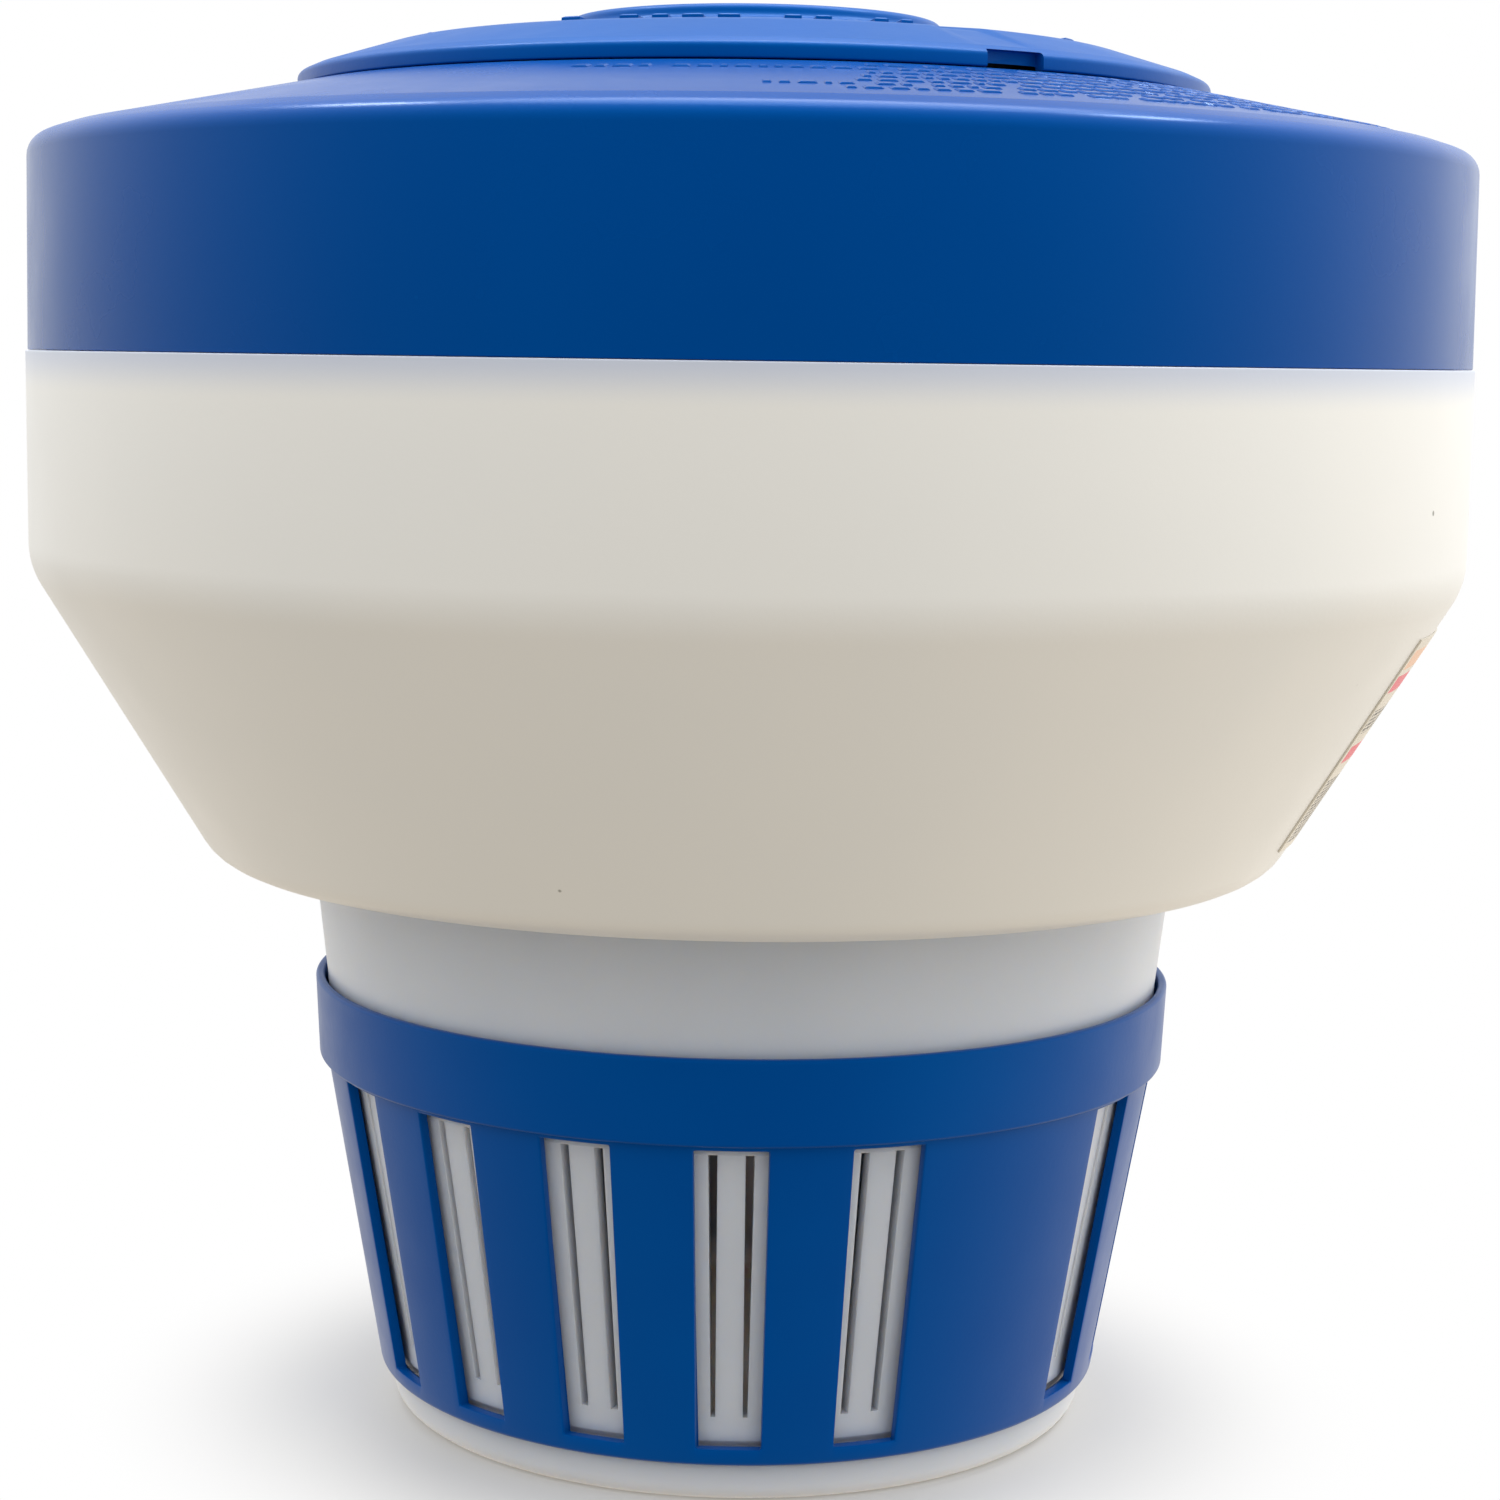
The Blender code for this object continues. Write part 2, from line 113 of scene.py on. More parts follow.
def rounded(corners: list[Corner], closed: bool) -> list[Vector]:
    """Points of an outline in the front half-plane, with its fillets.

    Args:
        corners: the outline's corners, in order.
        closed: whether the last corner joins the first.

    Returns:
        The outline's points, at bearing 0.
    """
    points: list[Vector] = []
    last = len(corners) - 1
    for i, corner in enumerate(corners):
        here = Vector((corner.radius, corner.height))
        if not corner.fillet or (not closed and i in (0, last)):
            points.append(here)
            continue
        before, after = corners[i - 1], corners[(i + 1) % len(corners)]
        back = Vector((before.radius, before.height)) - here
        ahead = Vector((after.radius, after.height)) - here
        half = back.angle(ahead) / 2
        reach = min(corner.fillet / math.tan(half), 0.45 * back.length, 0.45 * ahead.length)
        size = reach * math.tan(half)
        middle = (back.normalized() + ahead.normalized()).normalized()
        centre = here + middle * size / math.sin(half)
        start = here + back.normalized() * reach - centre
        sweep = start.angle_signed(here + ahead.normalized() * reach - centre)
        for step in range(FILLET_STEPS + 1):
            points.append(centre + Matrix.Rotation(-sweep * step / FILLET_STEPS, 2) @ start)
    return [at_bearing(0, p.x, p.y) for p in points]


def enter_edit(mode: str) -> None:
    """Edit the active object with nothing selected, by VERT, EDGE or FACE."""
    bpy.ops.object.mode_set(mode="EDIT")
    bpy.ops.mesh.select_mode(type=mode)
    bpy.ops.mesh.select_all(action="DESELECT")


def pick_faces(piece: Object, wanted: Callable[[Vector, Vector], bool]) -> None:
    """Select the faces of the object in edit mode whose centre and normal pass a test.

    Args:
        piece: the object being edited.
        wanted: called with a face's centre and normal, returns whether to select it.
    """
    bpy.ops.object.mode_set(mode="OBJECT")
    mesh = piece.data
    chosen = [bool(wanted(face.center, face.normal)) for face in mesh.polygons]
    mesh.polygons.foreach_set("select", chosen)
    edges = {key for face, yes in zip(mesh.polygons, chosen) if yes for key in face.edge_keys}
    verts = {v for face, yes in zip(mesh.polygons, chosen) if yes for v in face.vertices}
    mesh.edges.foreach_set("select", [tuple(e.key) in edges for e in mesh.edges])
    mesh.vertices.foreach_set("select", [v.index in verts for v in mesh.vertices])
    bpy.ops.object.mode_set(mode="EDIT")
    bpy.ops.mesh.select_mode(type="FACE")


def new_piece(name: str) -> Object:
    """The object that an operator has just added, renamed and alone in the selection."""
    piece = bpy.context.object
    piece.name = piece.data.name = name
    return piece


def start_piece(
    name: str, add: Callable[..., object], mode: str = "FACE", **sizes: object
) -> Object:
    """Add a primitive on the origin and edit it with everything selected.

    Args:
        name: the piece's name.
        add: Blender's operator that adds it.
        mode: what is selected in it: VERT, EDGE or FACE.
        sizes: the operator's own settings.

    Returns:
        The piece, in edit mode.
    """
    bpy.ops.object.select_all(action="DESELECT")
    add(location=(0, 0, 0), **sizes)
    piece = new_piece(name)
    enter_edit(mode)
    bpy.ops.mesh.select_all(action="SELECT")
    return piece


def draw_line(name: str, points: list[Vector]) -> Object:
    """Draw a line through points: one vertex, extruded along them.

    Args:
        name: the piece's name.
        points: where the line goes.

    Returns:
        The line, in edit mode with all of it selected.
    """
    piece = start_piece(name, bpy.ops.mesh.primitive_plane_add, "VERT", size=MM)
    bpy.ops.mesh.merge(type="CENTER")
    bpy.ops.transform.translate(value=points[0])
    for here, there in zip(points, points[1:]):
        bpy.ops.mesh.extrude_vertices_move(TRANSFORM_OT_translate={"value": there - here})
    bpy.ops.mesh.select_all(action="SELECT")
    return piece


def spin(steps: int, angle: float) -> None:
    """Spin what is selected about the axis; a positive angle goes towards falling bearings."""
    bpy.ops.mesh.spin(steps=steps, angle=angle, center=(0, 0, 0), axis=(0, 0, 1))


def pick_alone(piece: Object) -> None:
    """Make a piece the active object and the only one selected."""
    bpy.ops.object.select_all(action="DESELECT")
    piece.select_set(True)
    bpy.context.view_layer.objects.active = piece


def close_up(piece: Object) -> None:
    """Merge doubles and turn all faces outwards, then leave edit mode."""
    bpy.ops.mesh.select_all(action="SELECT")
    bpy.ops.mesh.remove_doubles(threshold=DOUBLES)
    bpy.ops.mesh.normals_make_consistent(inside=False)
    bpy.ops.object.mode_set(mode="OBJECT")
    pick_alone(piece)


def turned(name: str, corners: list[Corner], closed: bool = True, steps: int = TURN) -> Object:
    """Turn an outline about the axis.

    Args:
        name: the piece's name.
        corners: the outline's corners.
        closed: whether the outline is a loop; otherwise both its ends lie on the axis.
        steps: steps round the axis.

    Returns:
        The closed shell.
    """
    outline = rounded(corners, closed)
    if closed:
        outline.append(outline[0])
    piece = draw_line(name, outline)
    spin(steps, math.tau)
    close_up(piece)
    return piece


def apply_modifier(piece: Object, kind: str, **settings: object) -> None:
    """Add a modifier with its settings and apply it.

    Args:
        piece: the object, which becomes the active one.
        kind: Blender's name for the modifier.
        settings: its settings.
    """
    modifier = piece.modifiers.new(kind.title(), kind)
    for key, value in settings.items():
        setattr(modifier, key, value)
    bpy.context.view_layer.objects.active = piece
    bpy.ops.object.modifier_apply(modifier=modifier.name)


def smooth(piece: Object) -> None:
    """Shade the piece smooth except at its sharp edges."""
    pick_alone(piece)
    bpy.ops.object.shade_smooth_by_angle(angle=SMOOTH_ANGLE)


def join(name: str, pieces: list[Object]) -> Object:
    """Join pieces into one object, which keeps the first one's mesh.

    Args:
        name: the joined object's name.
        pieces: the objects to join.

    Returns:
        The joined object.
    """
    pick_alone(pieces[0])
    for piece in pieces:
        piece.select_set(True)
    bpy.ops.object.join()
    return new_piece(name)


def copy_to(piece: Object, place: Matrix) -> Object:
    """A copy of a piece with its own mesh, moved by a matrix that goes into the mesh."""
    made = piece.copy()
    made.data = piece.data.copy()
    made.data.transform(place)
    bpy.context.scene.collection.objects.link(made)
    return made


# ---------------------------------------------------------------------------- finishes

WANDER = (0.32, 0.68)  # the part of the noise that the wander in colour uses
GLOSS_WANDER = (0.3, 0.7)  # and the wander in gloss
FLECK_SPACE = 22  # cells of the specks, in fleck sizes
FLECK_EDGE = (0.026, 0.018)  # where a speck begins and is full, as a share of its cell
DEPTHS = (1.0, 0.85, 0.7)  # how far red, green and blue travel inside


def linear(colour: str) -> tuple[float, float, float, float]:
    """An sRGB hex colour such as '#0a3f9c' as linear RGBA."""
    parts = [int(colour[i : i + 2], 16) / 255 for i in (1, 3, 5)]
    red, green, blue = (p / 12.92 if p <= 0.04045 else ((p + 0.055) / 1.055) ** 2.4 for p in parts)
    return red, green, blue, 1.0


def add_node(
    tree: bpy.types.NodeTree, kind: str, inputs: dict[str, object], **settings: object
) -> Node:
    """Add a node with its settings, its socket values and its links.

    Args:
        tree: the tree it goes in.
        kind: the node's type.
        inputs: a value, or a socket to link from, for each input by name or identifier.
        settings: the node's own settings.

    Returns:
        The node.
    """
    node = tree.nodes.new(kind)
    for key, value in settings.items():
        setattr(node, key, value)
    for key, value in inputs.items():
        socket = next(s for s in node.inputs if key in (s.identifier, s.name))
        if isinstance(value, bpy.types.NodeSocket):
            tree.links.new(value, socket)
        else:
            socket.default_value = value
    return node


def blend(tree: bpy.types.NodeTree, share: Socket, first: object, second: object) -> Socket:
    """Mix two colours, each a socket or RGBA, by a share of the second."""
    shades = {"Factor_Float": share, "A_Color": first, "B_Color": second}
    node = add_node(tree, "ShaderNodeMix", shades, data_type="RGBA")
    return next(s for s in node.outputs if s.identifier == "Result_Color")


def maths(tree: bpy.types.NodeTree, operation: str, *values: object) -> Socket:
    """The result of a maths node on its values, each a socket or a number."""
    inputs = dict(zip(("Value", "Value_001", "Value_002"), values))
    return add_node(tree, "ShaderNodeMath", inputs, operation=operation).outputs[0]


def facing(tree: bpy.types.NodeTree, way: Socket, along: tuple[float, float, float]) -> Socket:
    """How far a direction points along a vector."""
    pair = {"Vector": way, "Vector_001": along}
    return add_node(tree, "ShaderNodeVectorMath", pair, operation="DOT_PRODUCT").outputs["Value"]


def ramp(
    tree: bpy.types.NodeTree, value: Socket, low: float, high: float,
    first: float = 0.0, last: float = 1.0, soft: bool = False,
) -> Socket:
    """Carry a value from one range to another and clamp it there.

    Args:
        tree: the tree it goes in.
        value: the value.
        low: what becomes the first.
        high: what becomes the last.
        first: where the new range begins.
        last: where the new range ends.
        soft: whether it is eased at both ends.

    Returns:
        The value in its new range.
    """
    ends = {"Value": value, "From Min": low, "From Max": high, "To Min": first, "To Max": last}
    kind = "SMOOTHSTEP" if soft else "LINEAR"
    return add_node(tree, "ShaderNodeMapRange", ends, interpolation_type=kind).outputs["Result"]


def glow(tree: bpy.types.NodeTree, strength: float) -> Socket:
    """Even white light."""
    inputs = {"Color": (1, 1, 1, 1), "Strength": strength}
    return add_node(tree, "ShaderNodeEmission", inputs).outputs["Emission"]


@dataclass(frozen=True)
class Finish:
    """A finish made of nodes: how its colour wanders, its gloss and its fine relief.

    Sizes are in millimetres on the real surface.
    """

    name: str
    colour: str
    second: str  # the colour that it wanders towards
    roughness: float
    roughness_spread: float = 0.04
    ior: float = 1.5
    mottle: float = 40.0  # size of the broad wander in colour
    flow: float = 1.0  # how much the wander is drawn out along Z
    grain: float = 0.5  # size of the fine relief
    relief: float = 0.01  # depth of the fine relief
    ripple: float = 18.0  # size of the slow waviness of a moulded wall
    ripple_depth: float = 0.0
    subsurface: float = 0.0
    depth: float = 2.0  # how far light travels inside
    sheen_tint: str = "#ffffff"  # colour of the reflection seen straight on
    rim: str = ""  # painted shade and painted blue reflection of the cover just below the seam, if it has any
    seam_shade_from: float = 0.0  # level where it begins, and where it is full
    seam_shade_to: float = 0.0
    fleck: str = ""  # colour of rare specks, if it has any
    fleck_size: float = 0.7

    def coordinates(self, tree: bpy.types.NodeTree) -> Socket:
        """Object coordinates in millimetres."""
        place = add_node(tree, "ShaderNodeTexCoord", {})
        scale = {"Vector": place.outputs["Object"], "Scale": (1 / MM,) * 3}
        return add_node(tree, "ShaderNodeMapping", scale).outputs["Vector"]

    def noise(self, tree: bpy.types.NodeTree, at: Socket, size: float, detail: float) -> Socket:
        """Noise whose features are about this many millimetres across."""
        inputs = {"Vector": at, "Scale": 1 / size, "Detail": detail, "Roughness": 0.55}
        return add_node(tree, "ShaderNodeTexNoise", inputs).outputs["Fac"]

    def paint(self, tree: bpy.types.NodeTree, at: Socket) -> Socket:
        """The colour: two close shades that mix slowly, with a painted seam shade and rare specks
        if it has them.
        """
        stretch = {"Vector": at, "Scale": (1, 1, 1 / self.flow)}
        drawn = add_node(tree, "ShaderNodeMapping", stretch).outputs["Vector"]
        broad = self.noise(tree, drawn, self.mottle, 3.0)
        share = ramp(tree, broad, *WANDER)
        base = blend(tree, share, linear(self.colour), linear(self.second))
        # painted shade with a painted blue reflection of the cover, full at the seam and fading
        # downwards
        if self.rim:
            height = add_node(tree, "ShaderNodeSeparateXYZ", {"Vector": at}).outputs["Z"]
            near = ramp(tree, height, self.seam_shade_from, self.seam_shade_to, soft=True)
            base = blend(tree, near, base, linear(self.rim))
        if not self.fleck:
            return base
        cells = {"Vector": at, "Scale": 1 / (self.fleck_size * FLECK_SPACE)}
        spot = add_node(tree, "ShaderNodeTexVoronoi", cells).outputs["Distance"]
        return blend(tree, ramp(tree, spot, *FLECK_EDGE), base, linear(self.fleck))

    def bump(self, tree: bpy.types.NodeTree, at: Socket) -> Socket:
        """The relief: the mould's fine grain on the wall's slow waviness."""
        fine = self.noise(tree, at, self.grain, 2.0)
        inputs = {"Height": fine, "Strength": 1.0, "Distance": self.relief * MM}
        if self.ripple_depth:
            slow = self.noise(tree, at, self.ripple, 1.0)
            wave = {"Height": slow, "Strength": 1.0, "Distance": self.ripple_depth * MM}
            inputs["Normal"] = add_node(tree, "ShaderNodeBump", wave).outputs["Normal"]
        return add_node(tree, "ShaderNodeBump", inputs).outputs["Normal"]

    def make(self) -> Material:
        """Build the material."""
        material = bpy.data.materials.new(self.name)
        material.use_nodes = True
        tree = material.node_tree
        shader = next(n for n in tree.nodes if n.type == "BSDF_PRINCIPLED")
        at = self.coordinates(tree)
        shine = self.noise(tree, at, self.mottle / 4, 4.0)
        low, high = self.roughness - self.roughness_spread, self.roughness + self.roughness_spread
        gloss = ramp(tree, shine, *GLOSS_WANDER, low, high)
        tree.links.new(self.paint(tree, at), shader.inputs["Base Color"])
        tree.links.new(gloss, shader.inputs["Roughness"])
        tree.links.new(self.bump(tree, at), shader.inputs["Normal"])
        fixed = {"IOR": self.ior, "Metallic": 0.0, "Specular Tint": linear(self.sheen_tint)}
        if self.subsurface:
            fixed["Subsurface Weight"] = self.subsurface
            fixed["Subsurface Radius"] = DEPTHS
            fixed["Subsurface Scale"] = self.depth * MM
        for key, value in fixed.items():
            shader.inputs[key].default_value = value
        material.diffuse_color = linear(self.colour)
        return material


@dataclass(frozen=True)
class PrintedFilm(Finish):
    """Self-adhesive film, printed with plain bands and rows of bars that say nothing."""

    ink: str = "#4d4a44"
    accent: str = "#ef5b6d"
    warm: str = "#f6c7a4"

    def band(self, tree: bpy.types.NodeTree, along: Socket, low: float, high: float) -> Socket:
        """1 between two shares of the label's height or width, else 0."""
        above = maths(tree, "GREATER_THAN", along, low)
        below = maths(tree, "LESS_THAN", along, high)
        return maths(tree, "MULTIPLY", above, below)

    def bars(self, tree: bpy.types.NodeTree, uv: Socket, rows: int) -> Socket:
        """Rows of short bars of uneven length, a stand-in for small print."""
        black, white = (0, 0, 0, 1), (1, 1, 1, 1)
        inputs = {
            "Vector": uv, "Color1": white, "Color2": white, "Mortar": black,
            "Scale": float(rows), "Mortar Size": 0.09, "Mortar Smooth": 0.0,
            "Brick Width": 0.9, "Row Height": 0.5,
        }
        settings = {"offset": 0.37, "squash": 0.55, "squash_frequency": 3}
        return add_node(tree, "ShaderNodeTexBrick", inputs, **settings).outputs["Color"]

    def paint(self, tree: bpy.types.NodeTree, at: Socket) -> Socket:
        """White film with two coloured bands, a block and rows of bars, placed on its UV map."""
        uv = add_node(tree, "ShaderNodeUVMap", {}, uv_map=Label.UV_NAME).outputs["UV"]
        parts = add_node(tree, "ShaderNodeSeparateXYZ", {"Vector": uv})
        across, up = parts.outputs["X"], parts.outputs["Y"]
        colour = super().paint(tree, at)
        inside = self.band(tree, across, 0.012, 0.988)
        panels = (
            (inside, 0.86, 0.95, None, self.warm),
            (inside, 0.75, 0.83, None, self.accent),
            (inside, 0.56, 0.67, 22, self.ink),
            (self.band(tree, across, 0.02, 0.24), 0.42, 0.50, None, self.accent),
            (self.band(tree, across, 0.30, 0.97), 0.40, 0.52, 20, self.ink),
            (inside, 0.04, 0.34, 26, self.ink),
        )  # across, from, up to, rows of bars, ink
        for wide, start, end, rows, ink in panels:
            mask = maths(tree, "MULTIPLY", wide, self.band(tree, up, start, end))
            if rows:
                mask = maths(tree, "MULTIPLY", mask, self.bars(tree, uv, rows))
            colour = blend(tree, mask, colour, linear(ink))
        return colour


class Palette(Enum):
    """The finishes of this dispenser."""

    # Polypropylene, injection moulded in a satin mould: milky, warm, faintly wavy, soft gloss.
    SHELL = Finish(
        "moulded_polypropylene_warm_white", colour="#eceae4", second="#e9e8e3", roughness=0.36,
        mottle=55, grain=0.9, relief=0.012, ripple_depth=0.10, ripple=26,
        # rim paints shade and a blue reflection of the cover on the band just below the seam
        rim="#c9cfdd", seam_shade_from=142.6, seam_shade_to=148.2, fleck="#8d8a80",
    )
    # The same plastic without the warm tint and thinner: light passes the slotted wall.
    CANISTER = Finish(
        "moulded_polypropylene_cool_white", colour="#d3d7de", second="#cdd2da", roughness=0.38,
        mottle=45, grain=0.9, relief=0.012, ripple_depth=0.08, subsurface=1.0, depth=4.0,
    )
    # ABS, injection moulded in a polished mould, pigmented right through: deep blue, semi-gloss.
    COVER = Finish(
        "moulded_abs_blue", colour="#004895", second="#004490", sheen_tint="#0094f0", ior=1.42,
        roughness=0.25, mottle=70, grain=0.7, relief=0.010, ripple_depth=0.06, ripple=30,
        flow=2.0,
    )
    LID = Finish(
        "moulded_abs_blue_lid", colour="#00519c", second="#004c98", sheen_tint="#0094f0",
        ior=1.42, roughness=0.36, mottle=45, grain=0.7, relief=0.012,
    )
    RING = Finish(
        "moulded_abs_blue_ring", colour="#004c98", second="#004793", sheen_tint="#0094f0",
        ior=1.38, roughness=0.35, mottle=35, grain=0.7, relief=0.010, ripple_depth=0.04,
    )
    # EPDM rubber, compression moulded: near black, matt, faintly dusty.
    RUBBER = Finish(
        "moulded_epdm_rubber", colour="#2b2b2d", second="#353537", roughness=0.72,
        mottle=9, grain=0.25, relief=0.02,
    )
    # Printed polypropylene film: cream, smooth and slightly matt over the ink.
    FILM = PrintedFilm(
        "printed_polypropylene_film", colour="#ebe3d3", second="#e6dece", roughness=0.4,
        mottle=30, grain=1.2, relief=0.006, ior=1.4,
    )
    # Painted board that the object stands on: matt, pale, evenly lit.
    FLOOR = Finish(
        "matt_painted_board", colour="#dedcd9", second="#dbd9d6", roughness=0.9,
        mottle=400, grain=3.0, relief=0.02,
    )


def mount(piece: Object, body: str, finish: Palette, node: str | None = None) -> Object:
    """Dress a piece in a shared finish, let it ride on a body and hide the CAD node it replaces.

    Args:
        piece: the piece.
        body: the CAD body it moves with.
        finish: its finish.
        node: the CAD node it replaces, if it replaces one.

    Returns:
        The piece.
    """
    material = bpy.data.materials.get(finish.value.name) or finish.value.make()
    piece.data.materials.clear()
    piece.data.materials.append(material)
    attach(piece, body)
    if node:
        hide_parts(node)
    LOG.info("%s: %d faces on %s", piece.name, len(piece.data.polygons), body)
    return piece


# ---------------------------------------------------------------------------- shared sizes


@dataclass(frozen=True)
class Datum:
    """Levels and radii that neighbouring pieces share, read off the frame's boxes."""

    ring_low: float
    collar_top: float
    collar_radius: float
    underside: float
    seam: float
    float_radius: float
    seat: float
    top: float
    flange_top: float
    flange_radius: float
    gap: float = 0.3 * MM
    running_gap: float = 0.5 * MM
    places: int = 18  # round the ring, for windows
    pitch: float = math.tau / places
    blanks: tuple[int, ...] = (2, 8, 14)  # places that stay closed
    weld: float = 0.06 * MM  # what shows of the welded joint at the seam

    @classmethod
    def read(cls) -> "Datum":
        """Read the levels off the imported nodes."""
        ring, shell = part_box("flow_ring"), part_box("float_shell")
        cover, lid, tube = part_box("top_cover"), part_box("lid"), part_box("canister")
        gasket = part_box("lid_gasket")
        return cls(
            ring_low=ring[0].z,
            collar_top=ring[1].z,
            collar_radius=max(-ring[0].y, ring[1].y),
            underside=shell[0].z,
            seam=cover[0].z - cls.gap / 2,
            float_radius=max(-cover[0].y, cover[1].y),
            seat=gasket[0].z - cls.gap,
            top=lid[1].z,
            flange_top=tube[1].z,
            flange_radius=-tube[0].y,
        )

    @property
    def lid_low(self) -> float:
        """Underside of the lid's rim."""
        return self.seat + self.gap

    @property
    def mouth_low(self) -> float:
        """Underside of the mouth's clamping ring."""
        return self.flange_top + self.gap

    def windows(self) -> list[float]:
        """Bearings of the ring's windows."""
        return [i * self.pitch for i in range(self.places) if i not in self.blanks]


# ---------------------------------------------------------------------------- mouldings


@dataclass
class FloatShell:
    """The white hollow float: a straight band on a cone, with a well up its middle."""

    datum: Datum
    rim_step: float = 0.3 * MM
    wall: float = 2.2 * MM
    cone_foot: float = 74.5 * MM
    cone_height: float = 41.1 * MM
    cone_top_fillet: float = 11.0 * MM
    cone_foot_fillet: float = 7.0 * MM
    well: float = 61.9 * MM
    well_wall: float = 2.0 * MM
    well_drop: float = 3.9 * MM  # from the canister flange's top to the well's
    lip: float = 4.0 * MM
    lip_wall: float = 1.8 * MM

    def outline(self) -> list[Corner]:
        """Down the outside, up the well and round the hidden air chamber."""
        d = self.datum
        cone_top = d.underside + self.cone_height
        angle = math.atan2(d.float_radius - self.cone_foot, self.cone_height)
        inside, floor = d.float_radius - self.wall, d.underside + self.wall
        inner_foot = self.cone_foot - self.wall / math.cos(angle) + self.wall * math.tan(angle)
        well_top, well_out = d.flange_top - self.well_drop, self.well + self.well_wall
        lip_out = inside - d.gap
        lip_in = lip_out - self.lip_wall
        return [
            Corner(d.float_radius + self.rim_step, d.seam - d.weld / 2, 0.2 * MM),
            Corner(d.float_radius, cone_top, self.cone_top_fillet),
            Corner(self.cone_foot, d.underside, self.cone_foot_fillet),
            Corner(self.well, d.underside, 0.5 * MM),
            Corner(self.well, well_top, 0.5 * MM),
            Corner(well_out, well_top, 0.5 * MM),
            Corner(well_out, floor, 1.0 * MM),
            Corner(inner_foot, floor, 4 * MM),
            Corner(inside, cone_top + self.wall * math.tan(angle / 2), 7 * MM),
            Corner(inside, d.seam - self.lip - self.lip_wall),
            Corner(lip_in, d.seam - self.lip, 0.5 * MM),
            Corner(lip_in, d.seam + self.lip, 0.4 * MM),
            Corner(lip_out, d.seam + self.lip, 0.4 * MM),
            Corner(lip_out, d.seam - d.weld / 2),
        ]

    def cone_radius(self, height: float) -> float:
        """Radius of the cone at a height."""
        share = (height - self.datum.underside) / self.cone_height
        return self.cone_foot + (self.datum.float_radius - self.cone_foot) * share

    def build(self) -> Object:
        """Turn the shell and dress it."""
        shell = turned("float_moulding", self.outline())
        smooth(shell)
        return mount(shell, "housing", Palette.SHELL, "float_shell")


@dataclass
class Marks:
    """Rows of low raised bars, where the real moulding has its raised notes."""

    seed: int
    length: tuple[float, float] = (0.8 * MM, 2.6 * MM)
    space: float = 0.8 * MM
    word_space: float = 3.2  # in spaces
    word_ends: float = 0.22  # share of the bars that end a word
    breadth: float = 1.7 * MM
    height: float = 0.2 * MM
    sunk: float = 0.25 * MM  # how far a bar is let into the wall below it

    def blank(self) -> Object:
        """One bar, 1 mm long, on the origin, with its upper edges bevelled."""
        bar = start_piece("bar_blank", bpy.ops.mesh.primitive_cube_add, size=1)
        rise = self.height + self.sunk
        bpy.ops.transform.resize(value=(MM, self.breadth, rise), center_override=(0, 0, 0))
        bpy.ops.transform.translate(value=(0, 0, rise / 2 - self.sunk))
        bpy.ops.mesh.select_all(action="DESELECT")
        pick_faces(bar, lambda centre, normal: normal.z > 0.9)
        bpy.ops.mesh.bevel(offset=0.16 * MM, segments=1, affect="EDGES")
        close_up(bar)
        return bar

    def row(
        self, bar: Object, radius: float, height: float, slope: float, start: float, end: float
    ) -> list[Object]:
        """Bars of uneven length along an arc.

        Args:
            bar: the blank bar.
            radius: the arc's radius.
            height: the surface's height there.
            slope: the surface's fall outwards, in radians.
            start: bearing of the row's first bar.
            end: bearing that the row doesn't pass.

        Returns:
            The bars.
        """
        pick = random.Random(self.seed + round(radius / MM * 10))
        made: list[Object] = []
        at = start
        while at < end:
            long = pick.uniform(*self.length)
            middle = at + long / 2 / radius
            stretch = Matrix.Diagonal((long / MM, 1, 1, 1))
            tilt = Matrix.Rotation(slope, 4, "X")
            turn = Matrix.Rotation(middle, 4, "Z")
            move = Matrix.Translation(at_bearing(middle, radius, height))
            made.append(copy_to(bar, move @ turn @ tilt @ stretch))
            gap = self.space * (self.word_space if pick.random() < self.word_ends else 1)
            at += (long + gap) / radius
        return made


